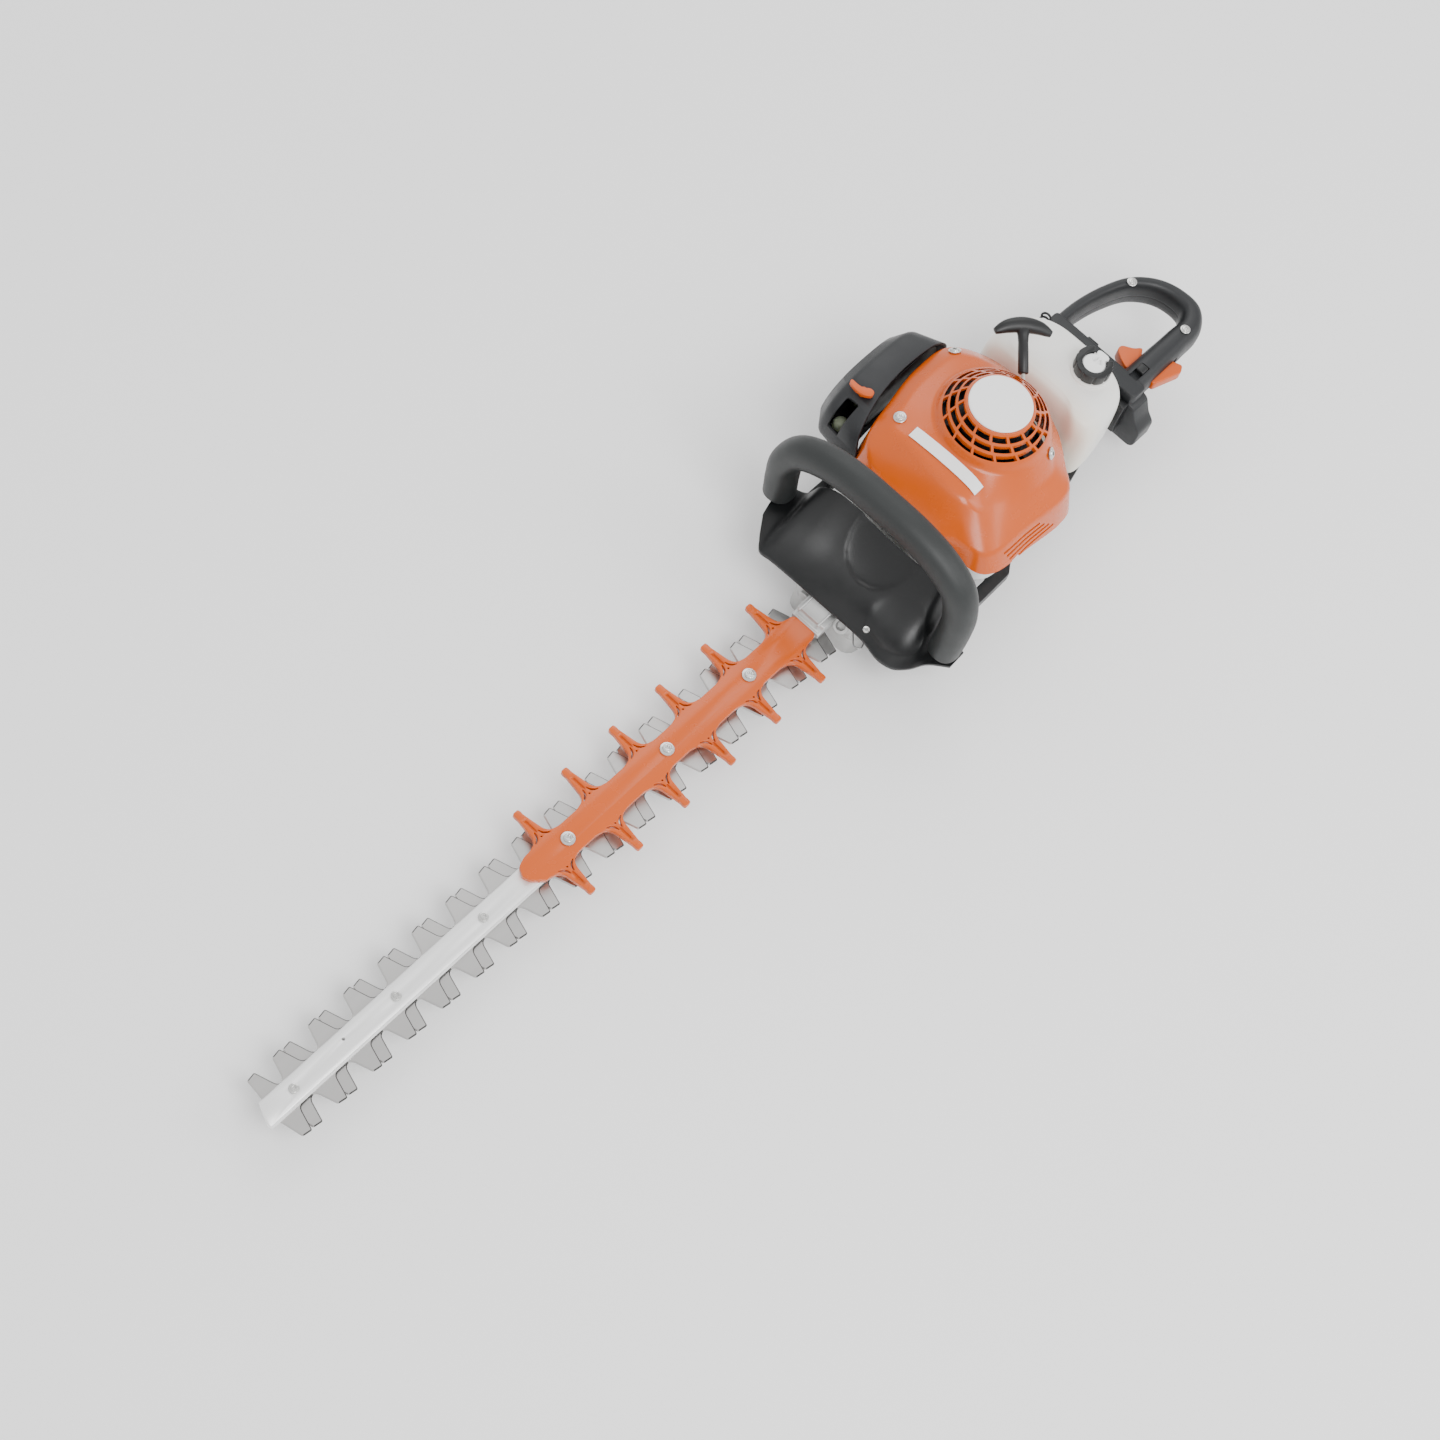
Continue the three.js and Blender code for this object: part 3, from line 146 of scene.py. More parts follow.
def see_through(mat, transmission, subsurface, radius):
    """Lets light into a plastic, as thin moulded polyethylene does."""
    shader = mat.node_tree.nodes["Principled BSDF"]
    shader.inputs["Transmission Weight"].default_value = transmission
    shader.inputs["Subsurface Weight"].default_value = subsurface
    shader.inputs["Subsurface Radius"].default_value = radius
    shader.inputs["Subsurface Scale"].default_value = 0.01
    return mat


MATERIALS = {
    "orange_shell": material("orange_shell", (0.6, 0.09, 0.0), 0.93, 0.26, 0.05, 900, 0.02, coat=0.12),
    "orange_control": material("orange_control", (0.6, 0.088, 0.0), 0.9, 0.34, 0.07, 1500, 0.08),
    "charcoal_plastic": material("charcoal_plastic", (0.011, 0.0122, 0.014), 0.8, 0.42, 0.08, 1900, 0.35),
    "black_plastic": material("black_plastic", (0.005, 0.0056, 0.0062), 0.75, 0.38, 0.1, 1700, 0.25),
    "grip_rubber": material("grip_rubber", (0.014, 0.0165, 0.0165), 0.82, 0.5, 0.06, 1600, 0.3),
    "cable_rubber": material("cable_rubber", (0.012, 0.012, 0.013), 0.7, 0.5, 0.1, 1500, 0.2),
    "tank_plastic": see_through(
        material("tank_plastic", (0.9, 0.89, 0.85), 0.97, 0.34, 0.05, 700, 0.06), 0.0, 0.12, (1.0, 0.95, 0.85)),
    "pale_plastic": material("pale_plastic", (0.72, 0.73, 0.73), 0.93, 0.4, 0.08, 1200, 0.15),
    "white_plate": material("white_plate", (0.92, 0.92, 0.915), 0.97, 0.3, 0.05, 600, 0.03),
    "rope_cord": material("rope_cord", (0.7, 0.68, 0.62), 0.6, 0.85, 0.1, 2600, 0.9),
    "blade_steel": material(
        "blade_steel", (0.6, 0.59, 0.58), 0.86, 0.34, 0.08, 500, 0.25, metal=1.0, stretch=(0.12, 1, 1)),
    "steel": material("steel", (0.45, 0.45, 0.45), 0.8, 0.36, 0.1, 900, 0.2, metal=1.0),
    "spring_steel": material("spring_steel", (0.03, 0.03, 0.032), 0.7, 0.35, 0.1, 1200, 0.15, metal=0.6),
    "bar_alloy": material(
        "bar_alloy", (0.9, 0.9, 0.895), 0.96, 0.38, 0.06, 700, 0.2, metal=0.45, stretch=(0.05, 1, 1)),
    "screw_zinc": material("screw_zinc", (0.72, 0.72, 0.7), 0.8, 0.25, 0.08, 1400, 0.1, metal=1.0, mottle=60),
    "cast_alloy": material("cast_alloy", (0.62, 0.62, 0.61), 0.85, 0.44, 0.1, 1300, 0.6, metal=0.8, mottle=30),
    "plug_ceramic": material("plug_ceramic", (0.9, 0.9, 0.88), 0.95, 0.2, 0.04, 500, 0.03),
    "filter_foam": material("filter_foam", (0.14, 0.17, 0.09), 0.6, 0.9, 0.05, 900, 1.0),
    "bulb_clear": see_through(
        material("bulb_clear", (0.72, 0.8, 0.58), 0.9, 0.25, 0.05, 600, 0.04), 0.45, 0.3, (1.0, 1.0, 0.7)),
}


# The tan towards the cover end is partly the fuel seen through the plastic and partly a painted reflection of the
# orange cover.
tinted(MATERIALS["tank_plastic"], -92, -66, (0.98, 0.92, 0.82))


# ---------------------------------------------------------------- mesh helpers
def mesh_object(name, points, faces, smooth=38):
    """A new object from points in millimetres; edges steeper than smooth degrees stay crisp."""
    mesh = bpy.data.meshes.new(name)
    mesh.from_pydata([at(*p) for p in points], [], faces)
    return dress(bpy.data.objects.new(name, mesh), smooth)


def dress(piece, smooth=38):
    if piece.name not in bpy.context.scene.collection.objects:
        bpy.context.scene.collection.objects.link(piece)
    mesh = piece.data
    tidy = bmesh.new()
    tidy.from_mesh(mesh)
    bmesh.ops.remove_doubles(tidy, verts=tidy.verts, dist=2e-6)
    bmesh.ops.recalc_face_normals(tidy, faces=tidy.faces)
    tidy.to_mesh(mesh)
    tidy.free()
    mesh.polygons.foreach_set("use_smooth", [True] * len(mesh.polygons))
    mesh.set_sharp_from_angle(angle=math.radians(smooth))
    return piece


def settle(piece):
    """Applies every modifier on a piece."""
    bpy.context.view_layer.update()
    graph = bpy.context.evaluated_depsgraph_get()
    done = bpy.data.meshes.new_from_object(piece.evaluated_get(graph))
    piece.modifiers.clear()
    piece.data = done
    return piece


def boolean(piece, tool, operation="DIFFERENCE"):
    """Cuts or joins a throwaway tool object into the piece."""
    modifier = piece.modifiers.new("cut", "BOOLEAN")
    modifier.operation = operation
    modifier.solver = "EXACT"
    modifier.object = tool
    settle(piece)
    bpy.data.objects.remove(tool)
    return piece


def rounded_edges(piece, width, segments=3, angle=35, smooth=38):
    modifier = piece.modifiers.new("edges", "BEVEL")
    modifier.width = width / 1000
    modifier.segments = segments
    modifier.limit_method = "ANGLE"
    modifier.angle_limit = math.radians(angle)
    modifier.use_clamp_overlap = True
    settle(piece)
    piece.data.polygons.foreach_set("use_smooth", [True] * len(piece.data.polygons))
    piece.data.set_sharp_from_angle(angle=math.radians(smooth))
    return piece


def place(piece, node, *nodes, slot=None, body=None, paint=None):
    """The piece stands for the named CAD nodes, rides with the first one's body and takes its finish."""
    finish_slot = slot or SLOT_OF[node]
    piece.data.materials.clear()
    piece.data.materials.append(paint or MATERIALS[finish_slot])
    if nodes != (None,):
        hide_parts(node, *nodes)
    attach(piece, body or BODY_OF[node])
    return piece


def refine(node, width=0.5, segments=2, angle=35, smooth=35):
    """The CAD node's own shape with its flat facets merged and its edges rounded."""
    source = NODES[node]
    piece = bpy.data.objects.new(node + "_made", source.data.copy())
    piece.data.materials.clear()
    bpy.context.scene.collection.objects.link(piece)
    tidy = bmesh.new()
    tidy.from_mesh(piece.data)
    tidy.transform(source.matrix_world)
    bmesh.ops.remove_doubles(tidy, verts=tidy.verts, dist=1e-5)
    bmesh.ops.dissolve_limit(tidy, angle_limit=math.radians(2), verts=tidy.verts, edges=tidy.edges)
    tidy.to_mesh(piece.data)
    tidy.free()
    piece.data.normals_split_custom_set([(0, 0, 0)] * len(piece.data.loops))
    dress(piece, smooth)
    if width > 0:
        rounded_edges(piece, width, segments, angle, smooth)
    return place(piece, node)


def catmull(points, count, closed=False):
    """count points along a centripetal Catmull-Rom curve through the given ones."""
    points = [Vector(p) for p in points]
    n = len(points)
    spans = n if closed else n - 1

    def control(i):
        if closed:
            return points[i % n]
        if i < 0:
            return points[0] * 2 - points[1]
        if i >= n:
            return points[n - 1] * 2 - points[n - 2]
        return points[i]

    result = []
    total = count if closed else count - 1
    for k in range(count):
        s = spans * k / total
        i = min(int(s), spans - 1)
        u = s - i
        p0, p1, p2, p3 = (control(i + j) for j in (-1, 0, 1, 2))
        d0, d1, d2 = (max((b - a).length ** 0.5, 1e-4) for a, b in ((p0, p1), (p1, p2), (p2, p3)))
        m1 = (p1 - p0) / d0 - (p2 - p0) / (d0 + d1) + (p2 - p1) / d1
        m2 = (p2 - p1) / d1 - (p3 - p1) / (d1 + d2) + (p3 - p2) / d2
        m1 = m1 * d1
        m2 = m2 * d1
        u2, u3 = u * u, u * u * u
        result.append(p1 * (2 * u3 - 3 * u2 + 1) + m1 * (u3 - 2 * u2 + u) + p2 * (3 * u2 - 2 * u3) + m2 * (u3 - u2))
    return result


def filleted(points, trims, steps=5):
    """A polyline whose inner corners are rounded; trims gives how far each corner's rounding reaches."""
    points = [Vector(p) for p in points]
    result = [points[0]]
    for i in range(1, len(points) - 1):
        back = points[i - 1] - points[i]
        ahead = points[i + 1] - points[i]
        reach = min(trims[i - 1], back.length * 0.48, ahead.length * 0.48)
        start = points[i] + back.normalized() * reach
        end = points[i] + ahead.normalized() * reach
        for k in range(steps + 1):
            u = k / steps
            result.append(start * (1 - u) ** 2 + points[i] * 2 * u * (1 - u) + end * u ** 2)
    result.append(points[-1])
    return result


def loft(name, rings, cap_start=True, cap_end=True, smooth=38):
    n = len(rings[0])
    points = [p for ring in rings for p in ring]
    faces = []
    for k in range(len(rings) - 1):
        for i in range(n):
            j = (i + 1) % n
            faces.append((k * n + i, k * n + j, (k + 1) * n + j, (k + 1) * n + i))
    if cap_start:
        faces.append(tuple(reversed(range(n))))
    if cap_end:
        faces.append(tuple(range((len(rings) - 1) * n, len(rings) * n)))
    return mesh_object(name, points, faces, smooth)


def sweep(name, path, section_at, across, smooth=38, closed_path=False):
    """Sweeps section_at(t) -> [(out, side), ...] along a path of points."""
    rings = []
    count = len(path)
    across = Vector(across).normalized()
    for k, p in enumerate(path):
        ahead = path[min(k + 1, count - 1)] - path[max(k - 1, 0)]
        out = ahead.cross(across).normalized()
        rings.append([p + out * a + across * b for a, b in section_at(k / (count - 1))])
    return loft(name, rings, smooth=smooth)


def oval(width, height, count=32, square=2.0):
    """Points round a superellipse; square 2 is an ellipse, more is boxier."""
    points = []
    for i in range(count):
        angle = 2 * math.pi * (i + 0.5) / count
        c, s = math.cos(angle), math.sin(angle)
        across = math.copysign(abs(c) ** (2 / square), c) * width
        points.append((across, math.copysign(abs(s) ** (2 / square), s) * height))
    return points


def turned(name, profile, centre, axis=(0, 0, 1), sides=48, wave=None, smooth=38):
    """A lathe piece from [radius, height] pairs; wave(radius, height, angle) may change the radius."""
    turn = Vector((0, 0, 1)).rotation_difference(Vector(axis).normalized())
    rings = []
    for r, h in profile:
        ring = []
        for i in range(sides):
            angle = 2 * math.pi * i / sides
            reach = wave(r, h, angle) if wave else r
            local = Vector((reach * math.cos(angle), reach * math.sin(angle), h))
            ring.append(Vector(centre) + turn @ local)
        rings.append(ring)
    return loft(name, rings, smooth=smooth)


def tube(name, path, radius, sides=14):
    """A round tube along a path of points, with frames carried along it."""
    rings = []
    normal = Vector((0.31, 0.2, 1))
    for k, p in enumerate(path):
        ahead = (path[min(k + 1, len(path) - 1)] - path[max(k - 1, 0)]).normalized()
        normal = (normal - ahead * normal.dot(ahead)).normalized()
        side = ahead.cross(normal)
        ring = []
        for i in range(sides):
            angle = 2 * math.pi * i / sides
            ring.append(p + normal * math.cos(angle) * radius + side * math.sin(angle) * radius)
        rings.append(ring)
    return loft(name, rings)


def coil(name, start, end, radius, wire, turns):
    start, end = Vector(start), Vector(end)
    axis = (end - start).normalized()
    u = Vector((0.3, 0.2, 1)).cross(axis).normalized()
    v = axis.cross(u)
    steps = turns * 24
    path = []
    for i in range(steps + 1):
        angle = 2 * math.pi * i / 24
        path.append(start.lerp(end, i / steps) + (u * math.cos(angle) + v * math.sin(angle)) * radius)
    return tube(name, path, wire, 10)


def flat_part(name, outlines, low, high, edge, smooth=38, rounding=2):
    """A plate from closed outlines (the first is the rim, others are holes) with softened edges."""
    curve = bpy.data.curves.new(name, "CURVE")
    curve.dimensions = "2D"
    curve.fill_mode = "BOTH"
    curve.extrude = (high - low) / 2000 - edge / 1000
    curve.bevel_depth = edge / 1000
    curve.bevel_resolution = rounding
    curve.offset = -edge / 1000
    for outline in outlines:
        spline = curve.splines.new("POLY")
        spline.points.add(len(outline) - 1)
        for point, (x, y) in zip(spline.points, outline):
            spot = at(x, y, 0)
            point.co = (spot.x, spot.y, 0, 1)
        spline.use_cyclic_u = True
    holder = bpy.data.objects.new(name + "_curve", curve)
    bpy.context.scene.collection.objects.link(holder)
    bpy.context.view_layer.update()
    graph = bpy.context.evaluated_depsgraph_get()
    mesh = bpy.data.meshes.new_from_object(holder.evaluated_get(graph))
    bpy.data.objects.remove(holder)
    bpy.data.curves.remove(curve)
    mesh.transform(Matrix.Translation((0, 0, BLADE_PLANE + (low + high) / 2000)))
    return dress(bpy.data.objects.new(name, mesh), smooth)


def round_corners(corners, radius, steps=4):
    """A closed outline with its corners rounded; corners may carry their own radius as a third value."""
    n = len(corners)
    result = []
    for i, corner in enumerate(corners):
        here = Vector(corner[:2])
        reach = corner[2] if len(corner) > 2 else radius
        back = Vector(corners[i - 1][:2]) - here
        ahead = Vector(corners[(i + 1) % n][:2]) - here
        reach = min(reach, back.length * 0.48, ahead.length * 0.48)
        start = here + back.normalized() * reach
        end = here + ahead.normalized() * reach
        for k in range(steps + 1):
            u = k / steps
            p = start * (1 - u) ** 2 + here * 2 * u * (1 - u) + end * u ** 2
            result.append((p.x, p.y))
    return result


def slot_outline(x, y, half_length, half_width, steps=8):
    points = []
    for k in range(steps + 1):
        angle = math.pi * k / steps - math.pi / 2
        points.append((x + half_length - half_width + half_width * math.cos(angle), y + half_width * math.sin(angle)))
    for k in range(steps + 1):
        angle = math.pi * k / steps + math.pi / 2
        points.append((x - half_length + half_width + half_width * math.cos(angle), y + half_width * math.sin(angle)))
    return points


def box_tool(x0, x1, y0, y1, z0, z1, turn=0.0, pivot=(0, 0)):
    corners = [(x, y, z) for z in (z0, z1) for x, y in ((x0, y0), (x1, y0), (x1, y1), (x0, y1))]
    c, s = math.cos(turn), math.sin(turn)
    moved = []
    for x, y, z in corners:
        dx, dy = x - pivot[0], y - pivot[1]
        moved.append((pivot[0] + dx * c - dy * s, pivot[1] + dx * s + dy * c, z))
    faces = [(3, 2, 1, 0), (4, 5, 6, 7), (0, 1, 5, 4), (1, 2, 6, 5), (2, 3, 7, 6), (3, 0, 4, 7)]
    return mesh_object("tool", moved, faces)


def sheet(name, point_at, columns, rows, thickness, smooth=38):
    """A thin closed sheet over a grid; point_at(u, v) gives its top face."""
    points, faces = [], []
    for drop in (0, thickness):
        for i in range(columns + 1):
            for j in range(rows + 1):
                x, y, z = point_at(i / columns, j / rows)
                points.append((x, y, z - drop))
    count = (columns + 1) * (rows + 1)

    def top(i, j):
        return i * (rows + 1) + j

    for i in range(columns):
        for j in range(rows):
            quad = [top(i, j), top(i + 1, j), top(i + 1, j + 1), top(i, j + 1)]
            faces.append(quad)
            faces.append([q + count for q in reversed(quad)])
    edge = [(top(i, 0), top(i + 1, 0)) for i in range(columns)]
    edge += [(top(columns, j), top(columns, j + 1)) for j in range(rows)]
    edge += [(top(i, rows), top(i - 1, rows)) for i in range(columns, 0, -1)]
    edge += [(top(0, j), top(0, j - 1)) for j in range(rows, 0, -1)]
    faces += [(b, a, a + count, b + count) for a, b in edge]
    return mesh_object(name, points, faces, smooth)


def united(name, pieces):
    """One mesh object that holds all the given ones, as separate islands."""
    whole = bmesh.new()
    for piece in pieces:
        whole.from_mesh(piece.data)
        bpy.data.objects.remove(piece)
    mesh = bpy.data.meshes.new(name)
    whole.to_mesh(mesh)
    whole.free()
    return dress(bpy.data.objects.new(name, mesh))


def screw(name, centre, axis, radius, node, height=2.4):
    """A washer-head screw with a six-lobed recess."""
    profile = [
        (radius * 0.4, -6), (radius * 0.4, 0), (radius, 0), (radius, height * 0.35), (radius * 0.93, height * 0.48),
        (radius * 0.72, height * 0.52), (radius * 0.68, height * 0.85), (radius * 0.6, height), (radius * 0.34, height),
        (radius * 0.33, height * 0.3), (0.02, height * 0.25),
    ]

    def lobes(r, h, angle):
        if r < radius * 0.345 and h > 0:
            return r * (1 + 0.16 * math.cos(6 * angle))
        return r

    return place(turned(name, profile, centre, axis, 48, lobes), node)


# ---------------------------------------------------------------- camera, floor and light
def photo_camera():
    azimuth, elevation, roll = (math.radians(a) for a in (23.3, 61.2, 21.6))
    level = math.cos(elevation)
    back = Vector((level * math.cos(azimuth), level * math.sin(azimuth), math.sin(elevation)))
    up = (Vector((0, 0, 1)) - back * back.z).normalized()
    right = up.cross(back)
    tilted_right = right * math.cos(roll) + up * math.sin(roll)
    tilted_up = up * math.cos(roll) - right * math.sin(roll)
    camera = bpy.data.objects.new("camera", bpy.data.cameras.new("camera"))
    camera.data.lens = 83.2
    camera.data.sensor_width = 36
    camera.data.clip_end = 50
    turn = Matrix((tilted_right, tilted_up, back)).transposed().to_4x4()
    camera.matrix_world = Matrix.Translation(at(1555, 537, 2429)) @ turn
    bpy.context.scene.collection.objects.link(camera)
    bpy.context.scene.camera = camera


def studio():
    floor_mesh = bpy.data.meshes.new("floor")
    side = 6
    corners = [(-side, -side, 0), (side, -side, 0), (side, side, 0), (-side, side, 0)]
    floor_mesh.from_pydata(corners, [], [(0, 1, 2, 3)])
    floor = bpy.data.objects.new("floor", floor_mesh)
    bpy.context.scene.collection.objects.link(floor)
    floor.data.materials.append(material("floor_paper", (0.97, 0.97, 0.97), 0.995, 0.8, 0.05, 300, 0.02))
    world = bpy.data.worlds.new("world")
    world.use_nodes = True
    sky = world.node_tree.nodes["Background"]
    sky.inputs["Color"].default_value = (1, 1, 1, 1)
    sky.inputs["Strength"].default_value = 1.15
    bpy.context.scene.world = world
    lamps = [
        ("key_light", (0.6, 1.3, 2.4), 1.4, 50),
        ("fill_light", (-1.6, -1.2, 2.0), 1.6, 16),
        ("rim_light", (-1.2, 1.6, 1.6), 1.0, 12),
    ]
    for name, spot, size, power in lamps:
        light = bpy.data.lights.new(name, "AREA")
        light.size = size
        light.energy = power
        lamp = bpy.data.objects.new(name, light)
        lamp.location = spot
        lamp.rotation_euler = (Vector((-0.1, 0, 0.1)) - Vector(spot)).to_track_quat("-Z", "Y").to_euler()
        bpy.context.scene.collection.objects.link(lamp)


photo_camera()
studio()


# ---------------------------------------------------------------- cutter
TOOTH_PITCH = 38
TOOTH_COUNT = 17
FIRST_TOOTH = 829
SIDE_OFFSET = 10.3
BLADE_OFFSET = 11.5
TOOTH_ROOT = 12
TOOTH_REACH = 32.5
BOLTS = [286, 388, 507, 604, 702, 813]
GUARD_BOLTS = 3
BAR_TOP = 7.6
BAND_TOP = 13


def blade_outline(shift, skip_first):
    base, tip = 10.8, 4.5
    toe = FIRST_TOOTH + shift + 9
    outline = [(152, -9.5, 1), (152, 9.5, 1), (196, TOOTH_ROOT, 3)]
    for k in reversed(range(TOOTH_COUNT)):
        x = FIRST_TOOTH + shift - TOOTH_PITCH * k
        outline += [(x - base, TOOTH_ROOT, 4.5), (x - tip, TOOTH_REACH, 1.6), (x + tip, TOOTH_REACH - 1.4, 1.6)]
        if k > 0:
            outline.append((x + base, TOOTH_ROOT, 4.5))
    outline += [(toe, TOOTH_ROOT - 2, 2), (toe + (0 if skip_first else 8), 2 - TOOTH_ROOT, 2)]
    for k in range(1 if skip_first else 0, TOOTH_COUNT):
        x = FIRST_TOOTH + SIDE_OFFSET + shift - TOOTH_PITCH * k
        if k > 0:
            outline.append((x + base, -TOOTH_ROOT, 4.5))
        outline += [(x + tip, 1.4 - TOOTH_REACH, 1.6), (x - tip, -TOOTH_REACH, 1.6), (x - base, -TOOTH_ROOT, 4.5)]
    return round_corners(outline, 2, 4)


def blade(node, shift, skip_first, low, high):
    """A blade strip with ground flanks on its teeth; the flanks that do not face +X are painted dark as shade."""
    slot_shift = 5.75 if shift == 0 else -5.75
    slots = [slot_outline(x + slot_shift, 0, 13.3, 3.6) for x in BOLTS]
    piece = flat_part(node + "_made", [blade_outline(shift, skip_first)] + slots, low, high, 1.05, 25, 0)
    place(piece, node)
    piece.data.materials.append(FLANK_PAINTED_SHADE)
    # Painted shade: the ground flanks and tips that do not face +X take the near-black material.
    for face in piece.data.polygons:
        out = abs(in_mm(face.center).y)
        if 0.2 < abs(face.normal.z) < 0.95 and out > TOOTH_ROOT - 1 and face.normal.x < 0.25:
            face.material_index = 1
    return piece


# Near-black steel painted onto the teeth flanks as shade, not the steel's own colour.
FLANK_PAINTED_SHADE = material(
    "flank_painted_shade", (0.05, 0.048, 0.046), 0.8, 0.5, 0.08, 900, 0.3, metal=0.3, stretch=(1, 0.1, 1))

blade("upper_blade", 0, True, 0.3, 2.6)
blade("lower_blade", -BLADE_OFFSET, False, -2.3, 0)


def guide_bar():
    half, lip = 10.3, 11.4
    section = [
        (-lip, 2.9), (lip, 2.9), (lip, 3.9), (lip - 0.4, 4.3), (half, 4.7), (half, 6.9), (half - 0.2, 7.3),
        (half - 0.7, 7.6), (0.7 - half, 7.6), (0.2 - half, 7.3), (-half, 6.9), (-half, 4.7), (0.4 - lip, 4.3),
        (-lip, 3.9),
    ]
    piece = loft("guide_bar_made", [[(x, y, z) for y, z in section] for x in (190, 847)])
    tools = [loft("tool", [[(838, -14, z), (851, -14, z), (851, 14, z)] for z in (0, 12)])]
    tools.append(turned("tool", [(1.4, 0), (1.4, 12)], (757, -3, 0), sides=20))
    tools += [turned("tool", [(3.3, 0), (3.3, 12)], (x, 0, 0), sides=24) for x in BOLTS]
    boolean(piece, united("tool", tools))
    rounded_edges(piece, 0.35, 2)
    place(piece, "guide_bar")


guide_bar()

SPIKES = 6
SPIKE_PITCH = 56.8
SPIKE_REACH = 46
BAND_HALF = 13.4


def spike_outline(x, side):
    """One spike from its foot at lower x to its foot at higher x, on the side given."""
    half = [(17.5, BAND_HALF, 3), (9.5, 15.6, 6), (6.2, 20.5, 8), (3.2, 40, 4), (3.5, 43, 2), (2.9, SPIKE_REACH, 2.4)]
    lead = [(x - dx, d * side, r) for dx, d, r in half]
    return lead + [(x + dx, d * side, r) for dx, d, r in reversed(half)]


def curved_slot(x, side, way):
    """A narrow slot that follows the flare at the foot of a spike."""
    line = catmull([(1.9, 22.5, 0), (2.9, 19.2, 0), (5, 16.6, 0), (8.4, 14.6, 0)], 10)
    left, right = [], []
    for k, p in enumerate(line):
        ahead = (line[min(k + 1, 9)] - line[max(k - 1, 0)]).normalized()
        width = 0.85 * math.sin(math.pi * (0.12 + 0.76 * k / 9))
        left.append((p.x - ahead.y * width, p.y + ahead.x * width))
        right.append((p.x + ahead.y * width, p.y - ahead.x * width))
    return [(x + way * px, side * py) for px, py in left + right[::-1]]


def tooth_guard():
    start, end = 214, 546
    outline = [(start, 3 - BAND_HALF, 2), (start, BAND_HALF - 3, 2), (start + 3, BAND_HALF, 2)]
    for k in range(SPIKES):
        outline += spike_outline(241 + SPIKE_PITCH * k, 1)
    outline += [(end, BAND_HALF, 3), (end + 9, BAND_HALF - 8, 3), (end + 12, -2, 2), (end + 7, 3 - BAND_HALF, 2)]
    outline += [(end - 2, -BAND_HALF, 3)]
    for k in reversed(range(SPIKES)):
        outline += list(reversed(spike_outline(237 + SPIKE_PITCH * k, -1)))
    outline.append((start + 3, -BAND_HALF, 2))
    kept = [p for i, p in enumerate(outline) if math.dist(p[:2], outline[i - 1][:2]) > 0.6]
    holes = []
    for side, first in ((1, 241), (-1, 237)):
        for k in range(SPIKES):
            x = first + SPIKE_PITCH * k
            holes += [curved_slot(x, side, 1), curved_slot(x, side, -1)]
            holes.append([(x + 0.8 * math.cos(a * 0.785), side * 16.4 + 0.8 * math.sin(a * 0.785)) for a in range(8)])
    for x in BOLTS[:GUARD_BOLTS]:
        holes.append([(x + 3.3 * math.cos(a * 0.2618), 3.3 * math.sin(a * 0.2618)) for a in range(24)])
    piece = flat_part("tooth_guard_made", [round_corners(kept, 2, 4)] + holes, BAR_TOP + 0.3, BAND_TOP, 0.6)
    grooves = []
    for side, first in ((1, 241), (-1, 237)):
        for k in range(SPIKES):
            x = first + SPIKE_PITCH * k
            rim = [(-0.9, -6), (0, -6.8), (0.9, -6), (0.8, 5), (0, 7), (-0.8, 5)]
            levels = (BAND_TOP - 1.6, BAND_TOP + 2)
            grooves.append(loft("tool", [[(px + x, py + side * 28, z) for px, py in rim] for z in levels]))
    boolean(piece, united("tool", grooves))
    place(piece, "tooth_guard")


tooth_guard()


def bar_bolts():
    for i, x in enumerate(BOLTS):
        on_guard = i < GUARD_BOLTS
        seat = (BAND_TOP if on_guard else BAR_TOP) + 0.3
        head = 6.4 if on_guard else 4.2
        profile = [
            (0.02, -5.8), (5.0, -5.8), (5.4, -5.4), (5.4, -2.6), (3, -2.6), (3, seat), (head, seat), (head, seat + 0.7),
            (head * 0.94, seat + 1.2), (head * 0.66, seat + 1.45), (head * 0.62, seat + 2.6), (head * 0.54, seat + 3),
            (head * 0.34, seat + 3), (head * 0.32, seat + 1.6), (0.02, seat + 1.4),
        ]

        def facets(r, h, angle):
            if h > seat + 1.3 and head * 0.5 < r < head * 0.7:
                return r * (1 + 0.04 * math.cos(6 * angle))
            if h < -2:
                return r * (1 + 0.05 * math.cos(6 * angle))
            if h > seat + 1 and 0.1 < r < head * 0.4:
                return r * (1 + 0.14 * math.cos(6 * angle))
            return r

        place(turned(f"bar_bolt_{i + 1}_made", profile, (x, 0, 0), sides=48, wave=facets), f"bar_bolt_{i + 1}")


bar_bolts()


